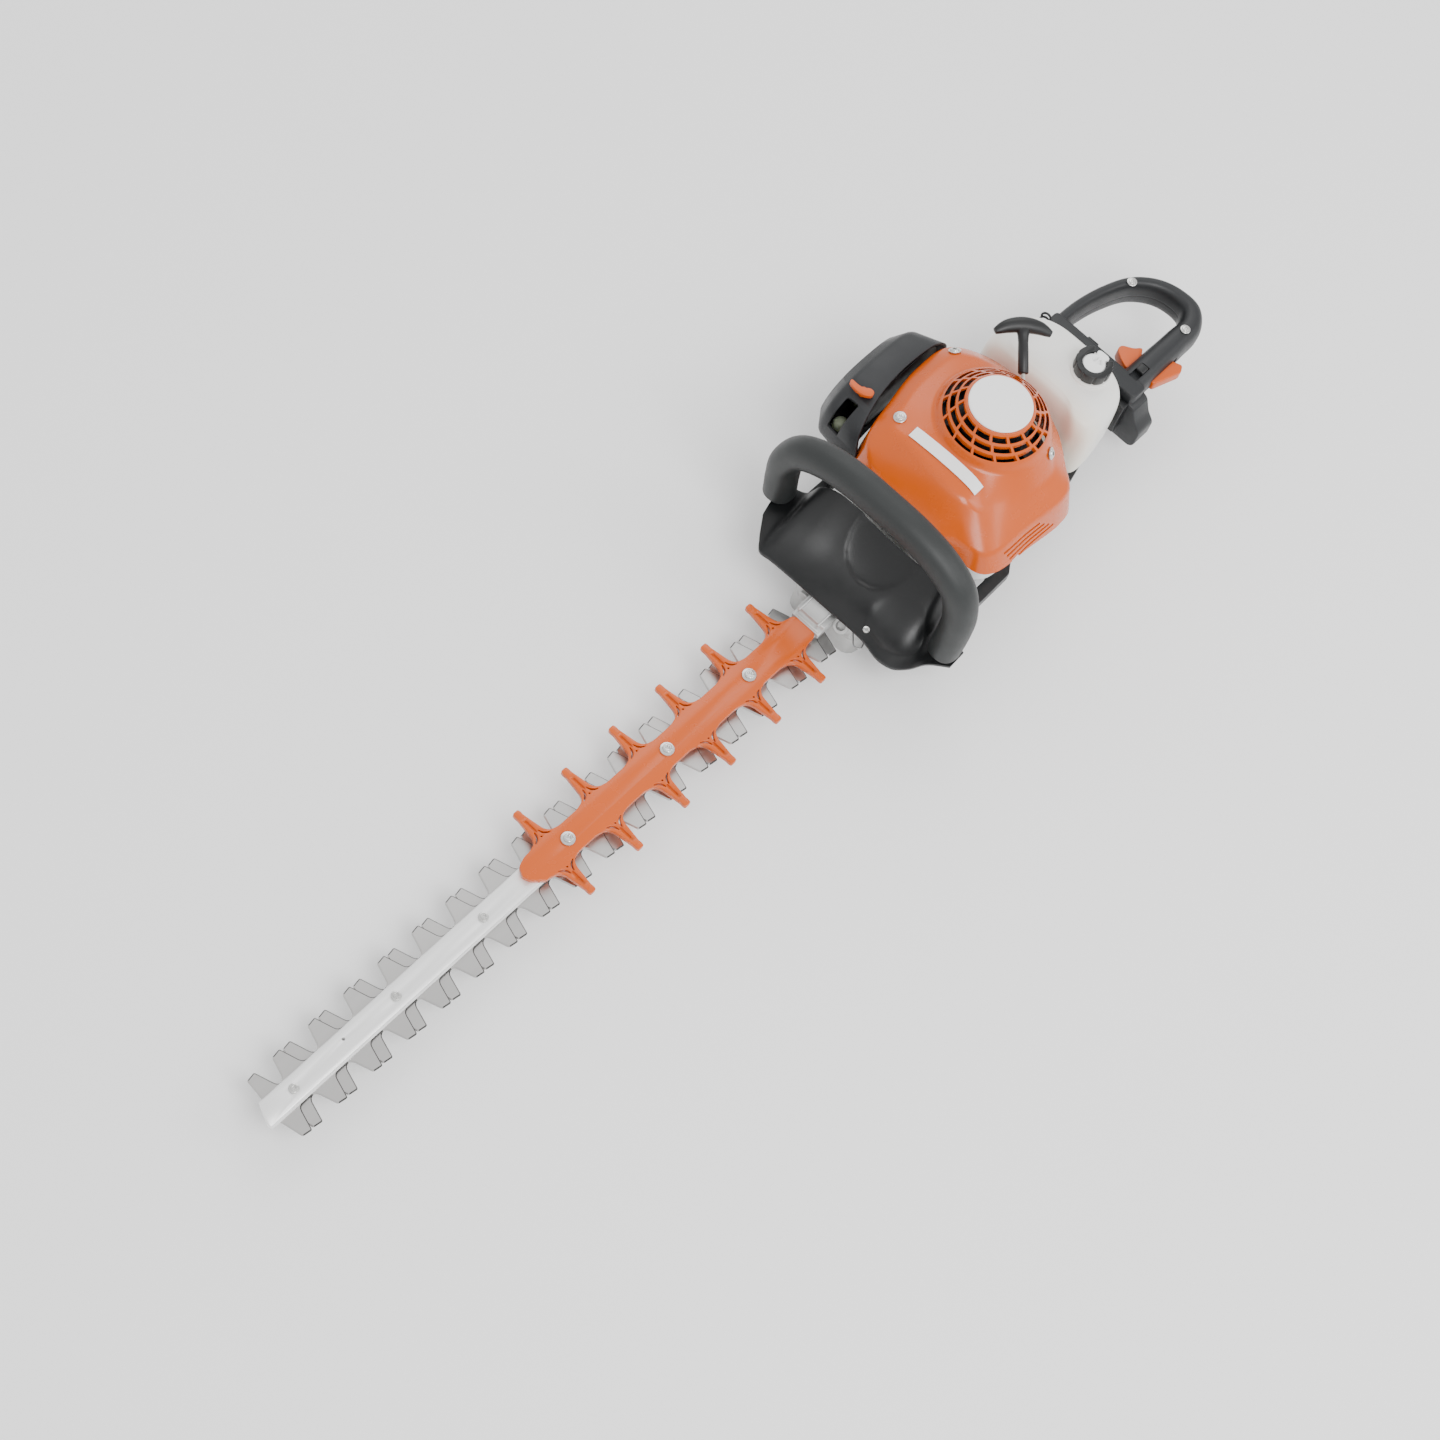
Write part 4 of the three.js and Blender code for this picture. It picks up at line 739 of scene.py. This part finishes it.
# ---------------------------------------------------------------- engine cover
# From the rear round through +Y, the front and -Y: the skirt's lower edge, the shoulder and the edge of the top.
COVER = [
    [(-66, 0, 64), (-65, 0, 88), (-54, 0, 106)],
    [(-53, 41, 62), (-52, 40, 86), (-42, 34, 104)],
    [(-38, 68, 54), (-36, 65, 79), (-25, 52, 98)],
    [(-26, 88, 46), (-24, 80, 77), (-12, 64, 92)],
    [(-10, 92, 46), (-10, 84, 77), (0, 66, 91)],
    [(35, 90, 52), (35, 81, 77), (32, 62, 94)],
    [(80, 87, 59), (76, 78, 77), (56, 54, 97)],
    [(92, 78, 60), (87, 71, 78), (67, 46, 99)],
    [(99, 47, 63), (96, 44, 78), (75, 34, 105)],
    [(110, 30, 62), (104, 27, 79), (77, 20, 107)],
    [(111, 0, 62), (105, -4, 80), (75, -6, 108)],
    [(102, -50, 62), (96, -48, 84), (69, -40, 107)],
    [(86, -69, 64), (82, -67, 92), (66, -56, 105)],
    [(42, -79, 66), (41, -77, 97), (38, -64, 108)],
    [(0, -85, 66), (0, -83, 97), (0, -69, 107)],
    [(-40, -81, 66), (-39, -79, 95), (-32, -65, 106)],
    [(-62, -48, 64), (-61, -47, 91), (-48, -38, 107)],
]
COVER_MIDDLE = Vector((22, 3, 0))
BADGE_R = 28.2
BADGE_Z = 138
PULL_START = Vector((-59, -17, 117))
PULL_AXIS = Vector((-0.66, -0.66, 0.3)).normalized()


def shrunk(p, inset, drop):
    flat = Vector((p.x - COVER_MIDDLE.x, p.y - COVER_MIDDLE.y, 0))
    flat *= (flat.length - inset) / flat.length
    return Vector((COVER_MIDDLE.x + flat.x, COVER_MIDDLE.y + flat.y, p.z - drop))


def cover_rings(wall, columns=170):
    levels = [catmull([station[k] for station in COVER], columns, closed=True) for k in range(3)]
    profiles = []
    for i in range(columns):
        top = levels[2][i]
        angle = math.atan2(top.y, top.x)
        spoke = Vector((math.cos(angle), math.sin(angle), 0))
        line = [
            shrunk(levels[0][i], wall, 0),
            shrunk(levels[1][i], wall, wall),
            shrunk(top, wall, wall),
            spoke * (52 - wall) + Vector((0, 0, 112 - wall)),
            spoke * (48 - wall) + Vector((0, 0, 119 - wall)),
            spoke * (BADGE_R + 1.5) + Vector((0, 0, BADGE_Z - 0.5 - wall)),
        ]
        profiles.append(filleted(line, [3.5, 4.5, 3, 3], 5))
    return [[profile[k] for profile in profiles] for k in range(len(profiles[0]))]


def grill_tools():
    """Curved slots in three rows, parted by slim ribs that lean round the cone."""
    tools = []
    ribs = 14
    for low, high in ((31.2, 35.4), (37.2, 41.2), (43, 46.6)):
        for k in range(ribs):
            start = 2 * math.pi * (k + 0.15 * (low - 31) / 4) / ribs
            span = 2 * math.pi / ribs
            gap = 1.1 / low
            outline = []
            for s in range(9):
                angle = start + gap + (span - 2 * gap) * s / 8
                outline.append((low * math.cos(angle), low * math.sin(angle)))
            lean = 0.09 * span
            for s in range(8, -1, -1):
                angle = start + lean + gap + (span - 2 * gap) * s / 8
                outline.append((high * math.cos(angle), high * math.sin(angle)))
            tools.append(loft("tool", [[(x, y, z) for x, y in outline] for z in (106, 145)]))
    return tools


def engine_cover():
    piece = loft("engine_cover_made", cover_rings(2.6)[::-1] + cover_rings(0))
    boolean(piece, united("tool", grill_tools()))
    louvres = []
    for k in range(4):
        louvres.append(loft("tool", [
            [(x0, y, z0), (x1, y, z0), (x1, y, z0 + 2.6), (x0, y, z0 + 2.6)]
            for y in (72, 98)
            for x0, x1, z0 in [(2 + 6 * k, 58 + 3 * k, 54 + 5 * k)]
        ]))
    rope_guide = turned("tool", [(5.2, -24), (5.2, 14)], PULL_START, PULL_AXIS, 32)
    boolean(piece, united("tool", louvres + [rope_guide]))
    piece.data.polygons.foreach_set("use_smooth", [True] * len(piece.data.polygons))
    piece.data.set_sharp_from_angle(angle=math.radians(40))
    place(piece, "engine_cover")
    return piece


cover = engine_cover()


def surface(piece):
    """A function that gives the point and slope of a piece straight below (x, y)."""
    points = bmesh.new()
    points.from_mesh(piece.data)
    tree = BVHTree.FromBMesh(points)
    points.free()
    return lambda px, py: tree.ray_cast(at(px, py, 400), Vector((0, 0, -1)))[:2]


probe = surface(cover)


for number, (x, y) in enumerate([(-34, -70), (56, -57), (-17, 53)], 1):
    spot, slope = probe(x, y)
    screw(f"cover_screw_{number}_made", in_mm(spot) + slope * 0.6, slope, 5.6, f"cover_screw_{number}", 2.2)

badge_profile = [
    (0.02, 0), (BADGE_R, 0), (BADGE_R, 0.7), (BADGE_R - 0.3, 1.1), (BADGE_R - 0.9, 1.4), (BADGE_R - 2, 1.5), (0.02, 1.9),
]
place(turned("badge_made", badge_profile, (0, 0, BADGE_Z - 0.2), sides=96), "badge")


def label_plate():
    x0, x1, y0, y1 = 54, 65, -40, 36

    def top_face(u, v):
        x, y = x0 + (x1 - x0) * u, y0 + (y1 - y0) * v
        return x, y, in_mm(probe(x, y)[0]).z + 1.4

    place(sheet("label_plate_made", top_face, 6, 36, 0.5), "label_plate")


label_plate()


# ---------------------------------------------------------------- engine base
def engine_base():
    edge = catmull([station[0] for station in COVER], 120, closed=True)

    def ring(inset, z=None, rise=0.0):
        result = []
        for p in edge:
            q = shrunk(p, inset, 0)
            result.append((q.x, q.y, z if z is not None else p.z + rise))
        return result

    outer = loft("engine_base_made", [ring(24, 24), ring(15, 28), ring(7.5, 36), ring(5.4, 43), ring(7.6, None, 3)])
    inner = loft("tool", [ring(26, 27), ring(9, 45), ring(10.6, None, 6)])
    boolean(outer, inner)
    tools = [turned("tool", [(36, 0), (36, 60)], (0, 0, 0), sides=64)]
    intake = turned("tool", [(10, 0), (10, 50)], (58, -100, 54), (0, 1, 0), 32)
    port_start, port_end = Vector((18, -92, 38)), Vector((28, -64, 52))
    port = turned("tool", [(5.5, 0), (5.5, (port_end - port_start).length)], port_start, port_end - port_start, 24)
    for tool in tools + [intake, port]:
        boolean(outer, tool)
    place(outer, "engine_base")
    dress(outer, 40)


engine_base()


# ---------------------------------------------------------------- air filter housing
FILTER = [
    [(-46, -84, 46), (-40, 47), (-22, 50)],
    [(-46, -84, 84), (-34, 84), (-18, 80)],
    [(-30, -87, 98), (-20, 97), (-6, 88)],
    [(20, -88.5, 101), (20, 100), (22, 91)],
    [(58, -82.5, 99), (54, 97), (46, 88)],
    [(84, -74, 87), (79, 83), (64, 77)],
    [(91, -67, 64), (85, 62), (71, 60)],
    [(86, -75, 43), (80, 44), (66, 48)],
    [(60, -84, 34), (58, 36), (50, 43)],
    [(-28, -88, 34), (-26, 36), (-8, 43)],
]


def filter_rings(wall, columns=110):
    def level(stations):
        moved = []
        for p in catmull(stations, columns, closed=True):
            flat = Vector((p.x - 22, 0, p.z - 67))
            flat *= (flat.length - wall) / flat.length
            moved.append(Vector((flat.x + 22, p.y, flat.z + 67)))
        return moved

    first = level([edge for edge, _, _ in FILTER])
    second = level([(x, -112 + wall * 0.4, z) for _, (x, z), _ in FILTER])
    third = level([(x, -122 + wall, z) for _, _, (x, z) in FILTER])
    profiles = [filleted([a, b, c], [4], 6) for a, b, c in zip(first, second, third)]
    return [[profile[k] for profile in profiles] for k in range(len(profiles[0]))]


def filter_cover():
    piece = loft("filter_cover_made", filter_rings(2.6)[::-1] + filter_rings(0))
    window = [(66, -104), (100, -104), (100, -91.5), (66, -91.5)]
    boolean(piece, loft("tool", [[(x, y, z) for x, y in round_corners(window, 2.5)] for z in (68, 112)]))
    boolean(piece, turned("tool", [(3.4, -21), (3.4, 9)], (57, -97, 101), sides=24))
    rounded_edges(piece, 0.7, 2, 50, 40)
    place(piece, "filter_cover")


filter_cover()


# ---------------------------------------------------------------- fuel tank
TANK = [
    (-72, 0), (-70, 30), (-64, 50), (-70, 63), (-100, 62), (-128, 53), (-139, 32), (-140.5, 0),
    (-138, -36), (-126, -56), (-96, -67), (-76, -62), (-71, -30),
]
TANK_LEVELS = [(0.74, 11), (0.93, 18), (1, 40), (1, 62), (0.97, 80), (0.88, 90), (0.7, 95)]
CAP = Vector((-116, 21, 98))


def tank_skin(name, wall, columns=100):
    steps = catmull([(scale, 0, z / 100) for scale, z in TANK_LEVELS], 34)
    waist = catmull([(x, y, 0) for x, y in TANK], columns, closed=True)
    rings = []
    for step in steps:
        z = step.z * 100
        height = z + (53 - z) * wall / 42
        ring = []
        for p in waist:
            flat = Vector((p.x + 106, p.y + 2, 0)) * min(step.x, 1.0)
            flat *= (flat.length - wall) / flat.length
            ring.append((flat.x - 106, flat.y - 2, height))
        rings.append(ring)
    return loft(name, rings, smooth=60)


def fuel_tank():
    piece = tank_skin("fuel_tank_made", 0)
    neck = turned("tool", [(18.5, -20), (18.5, -1), (18.2, -0.3), (17.5, 0)], CAP, sides=64)
    boolean(piece, neck, "UNION")
    boolean(piece, tank_skin("tool", 2.6))
    boolean(piece, turned("tool", [(12, -28), (12, 12)], CAP, sides=48))
    rounded_edges(piece, 0.8, 2, 50, 50)
    place(piece, "fuel_tank")


fuel_tank()


def fuel_cap():
    """A knurled ring, open on one side, round a white middle with a grip tab."""
    rim = []
    for k in range(241):
        angle = math.radians(-142 + 284 * k / 240)
        reach = 17 - 0.9 * max(0.0, math.cos(9 * angle)) ** 6
        rim.append((CAP.x + reach * math.cos(angle), CAP.y + reach * math.sin(angle)))
    for k in range(61):
        angle = math.radians(142 - 284 * k / 60)
        rim.append((CAP.x + 10.8 * math.cos(angle), CAP.y + 10.8 * math.sin(angle)))
    place(flat_part("fuel_cap_made", [rim], CAP.z + 0.3, CAP.z + 11.4, 0.9), "fuel_cap")
    profile = [(0.02, -10), (11.5, -10), (11.5, 0.3), (10.5, 0.3), (10.5, 8.4), (9.6, 9.2), (0.02, 9.2)]
    middle = turned("fuel_cap_middle", profile, CAP, sides=64)
    tab = [(CAP.x + r * math.cos(math.radians(a)), CAP.y + r * math.sin(math.radians(a)))
           for r, a in ((8, 150), (8, 210), (15.6, 205), (16.4, 193), (16.4, 167), (15.6, 155))]
    boolean(middle, flat_part("tool", [round_corners(tab, 1.5)], CAP.z + 1, CAP.z + 8.4, 0.7), "UNION")
    for side in (-1, 1):
        near, far = 21 + side * 3.4, 21 + side * 4.8
        boolean(middle, box_tool(-121, -116, near, far, 106, 109, 0.5 * side, (CAP.x, CAP.y)))
    place(middle, "fuel_cap", slot="white_plate")


fuel_cap()


# ---------------------------------------------------------------- hand guard and front handle
GUARD_BACK = [
    (138, -101, 37), (134, -79, 42), (131, -68, 62), (128, -54, 68), (124, -30, 64), (123, 0, 61),
    (124, 40, 61), (126, 65, 58), (128, 76, 42), (134, 88, 22), (136, 112, 21),
]
GUARD_FRONT = [
    (174, -91, 37), (194, -77, 36), (202, -69, 34), (200, -57, 32), (198, -30, 30), (197, 0, 29),
    (196, 46, 27), (199, 66, 25), (195, 80, 23), (184, 90, 22), (168, 98, 21), (155, 113, 21),
]


def hand_guard():
    columns, rows = 150, 44
    back = catmull(GUARD_BACK, columns + 1)
    front = catmull(GUARD_FRONT, columns + 1)

    def top_face(u, v):
        i = round(u * columns)
        p = back[i].lerp(front[i], v)
        dip = 10 * math.sin(math.pi * v) * max(math.sin(math.pi * u), 0.0) ** 0.7
        dish = 3.2 * max(0.0, 1 - ((p.x - 128) ** 2 + (p.y - 6) ** 2) / 32 ** 2) ** 0.3
        pocket = 2.5 * max(0.0, 1 - ((p.x - 166) ** 2 / 22 ** 2 + (p.y - 58) ** 2 / 26 ** 2)) ** 0.6
        return p.x, p.y, p.z - dip - dish - pocket

    piece = sheet("hand_guard_made", top_face, columns, rows, 3, 50)
    rounded_edges(piece, 0.9, 3, 60, 50)
    place(piece, "hand_guard")


hand_guard()

BAIL = [
    (-95, 42), (-98, 66), (-98.5, 88), (-88, 113), (-64, 129), (-34, 136), (0, 137), (34, 136), (64, 129),
    (88, 113), (98, 88), (100, 60), (99, 27),
]


def front_handle():
    path = catmull([(150, y, z) for y, z in BAIL], 140)
    section = oval(15.5, 15.5, 40, 2.25)

    def at_share(share):
        grip = 0.5 - 0.5 * math.cos(2 * math.pi * min(max(share, 0), 1))
        scale = 0.915 + 0.035 * min(grip * 1.6, 1.0)
        return [(a * scale, b * scale) for a, b in section]

    piece = sweep("front_handle_made", path, at_share, (1, 0, 0), 60)
    rounded_edges(piece, 2.0, 3, 60, 60)
    place(piece, "front_handle")


front_handle()


# ---------------------------------------------------------------- rear handle
LOOP_Z = 42
LOOP = [
    (-158, -41), (-190, -40), (-221, -34), (-248, -23), (-265, -5), (-271, 14), (-269, 32), (-256, 42),
    (-234, 43), (-205, 43), (-166, 43),
]
LOOP_WIDTHS = [6.4, 6.4, 6.6, 7, 7.6, 8.6, 10.2, 11.4, 12.2, 12.8, 13.4]


def rear_handle():
    half = 16
    path = catmull([(x, y, LOOP_Z) for x, y in LOOP], 120)

    def section_at(share):
        spot = share * (len(LOOP_WIDTHS) - 1)
        low = min(int(spot), len(LOOP_WIDTHS) - 2)
        width = LOOP_WIDTHS[low] + (LOOP_WIDTHS[low + 1] - LOOP_WIDTHS[low]) * (spot - low)
        return oval(width * 0.96, half, 48, 2.6)

    whole = sweep("rear_handle", path, section_at, (0, 0, 1), 50)
    root = round_corners([(-150.5, -48), (-169, -48), (-169, 58), (-150.5, 58)], 5)
    foot = round_corners([(38, -3), (73, -3), (77, 2), (77, 21), (69, 29), (62, 44), (38, 50)], 4)
    prisms = [
        loft("tool", [[(x, y, z) for x, y in root] for z in (LOOP_Z - half, LOOP_Z + half)]),
        loft("tool", [[(x, y, z) for y, z in foot] for x in (-172, -150.5)]),
    ]
    for prism in prisms:
        rounded_edges(prism, 1.6, 3)
        boolean(whole, prism, "UNION")
    tools = [
        turned("tool", [(12.4, -29), (12.4, 3)], (-143, 8, 42), (1, 0, 0), 48),
        box_tool(-212, -176, 20, 40, LOOP_Z - 7, LOOP_Z + 7),
        box_tool(-222, -183, 43.4, 66, LOOP_Z - 6, LOOP_Z + 6),
        box_tool(-186, -166, 38.6, 47.4, LOOP_Z + 12.5, LOOP_Z + 24),
    ]
    for tool in tools:
        boolean(whole, tool)
    for node, low, high in (("rear_handle_lower", -40, LOOP_Z - 0.15), ("rear_handle_upper", LOOP_Z + 0.15, 140)):
        part = bpy.data.objects.new(node + "_made", whole.data.copy())
        bpy.context.scene.collection.objects.link(part)
        boolean(part, box_tool(-320, -120, -120, 140, low, high), "INTERSECT")
        rounded_edges(part, 0.45, 2, 40, 40)
        place(part, node)
    bpy.data.objects.remove(whole)


rear_handle()

for node in ("throttle_trigger", "lockout_lever", "stop_slider", "swivel_lock", "choke_lever"):
    refine(node, 1.2, 3)
for node in ("swivel_base", "filter_base", "handle_frame", "gearbox_cover"):
    refine(node, 1.0, 3)
for number, (x, y) in enumerate([(-245, -22), (-243, 43)], 1):
    screw(f"handle_screw_{number}_made", (x, y, LOOP_Z + 16.6), (0, 0, 1), 4.6, f"handle_screw_{number}", 1.9)


def gearbox_nose():
    """Cast ribs, a flange and a hollow lug on the front of the gearbox, with a wire loop beside them."""
    piece = refine("gearbox_housing", 1.0, 3)
    ribs = [
        (184, 189.5, -34, 20, 16, 22.4), (186, 211, -12.6, -10.6, 16, 20.6), (186, 211, 8.6, 10.6, 16, 20.6),
        (204, 213, -13, 13, 9, 14.6), (183, 194, -24, -16, 5, 14), (183, 191, 27, 33, 5, 16),
    ]
    for sides in ribs:
        boolean(piece, rounded_edges(box_tool(*sides), 0.8, 2), "UNION")
    lug = [
        (0.05, -6), (7.4, -6), (7.4, 4), (6.8, 4.8), (4.5, 4.8), (4.1, 4.2), (3.9, -2), (0.05, -2),
    ]
    boolean(piece, turned("tool", lug, (190, 21.5, 12), (0.7, 0.12, 0.7), 40), "UNION")
    piece.data.set_sharp_from_angle(angle=math.radians(35))
    wire = [(183, 28, 13), (192, 36, 12.5), (197.5, 42, 12), (195, 47.5, 12.5), (188, 44, 14), (181, 32, 15)]
    place(tube("wire_loop", catmull(wire, 60), 0.65, 10), "gearbox_housing", slot="steel")


gearbox_nose()
guard_probe = surface(bpy.data.objects["hand_guard_made"])
spot, slope = guard_probe(187, 42)
guard_screw = [(0.05, -2), (3.4, -2), (3.4, 0.6), (3, 1.4), (1.6, 1.7), (1.4, 0.8), (0.05, 0.8)]
place(turned("guard_screw", guard_screw, in_mm(spot), slope, 28), "hand_guard", slot="screw_zinc")


# ---------------------------------------------------------------- starter, springs and cable
def pull_grip():
    across = Vector((-PULL_AXIS.y, PULL_AXIS.x, 0)).normalized()
    arch = PULL_AXIS.cross(across)

    def spot(side, out):
        return PULL_START + PULL_AXIS * out + across * side

    path = catmull([spot(-25, 29), spot(-14, 34), spot(0, 36), spot(14, 34), spot(25, 29)], 48)

    def section_at(share):
        swell = math.sin(math.pi * (0.06 + 0.88 * share)) ** 0.55
        return oval(6.9 * swell, 6.3 * swell, 32, 2.4)

    bar = sweep("pull_grip_made", path, section_at, arch, 60)
    profile = [(0.05, -7), (4.2, -7), (4.6, -6.4), (4.6, 14), (4.4, 20), (4.8, 26), (6, 31), (5, 33)]
    stem = turned("tool", profile, PULL_START, PULL_AXIS, 40)
    boolean(bar, stem, "UNION")
    rounded_edges(bar, 1.2, 3, 50, 50)
    place(bar, "pull_grip")


pull_grip()

place(coil("front_spring_1_made", (176, -41, 8), (176, -60, 8), 6, 1.3, 3), "front_spring_1")
place(coil("front_spring_2_made", (176, 41, 8), (176, 60, 8), 6, 1.3, 3), "front_spring_2")
place(coil("rear_spring_made", (-143.2, -46, 59), (-143.2, -46, 76), 4.4, 1.1, 3), "rear_spring")

CABLE = [
    (-141.4, -50, 20), (-134, -57, 15.5), (-100, -63, 14), (-60, -70, 14), (-20, -75, 16), (2, -78, 24),
    (13, -79.5, 33), (18.5, -80.5, 39.5), (22.5, -78.8, 44.6), (29, -66, 51), (35, -54, 57), (39.6, -48, 61),
]
place(tube("throttle_cable_made", catmull(CABLE, 120), 2.15, 16), "throttle_cable")


def starter_rope():
    """A twisted cord, drawn as a round tube along the pull axis."""
    path = [PULL_START + PULL_AXIS * (-7.4 - 12.6 * k / 60) for k in range(61)]
    piece = tube("starter_rope_made", path, 1.7, 16)
    piece.data.materials.append(MATERIALS["rope_cord"])
    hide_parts("starter_rope")
    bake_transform(piece)


starter_rope()
bulb_profile = [
    (0.05, 0), (7.5, 0), (7.5, 1.6), (7.2, 2.2), (6.7, 4.2), (5.6, 6.6), (4, 8.2), (2, 9), (0.05, 9.2),
]
place(turned("primer_bulb_made", bulb_profile,
             (70, -99.5, 58), (0.35, 0, 0.94), 48), "primer_bulb")

for name, node in NODES.items():
    if not node.hide_render:
        node.data.materials.clear()
        node.data.materials.append(MATERIALS[SLOT_OF[name]])
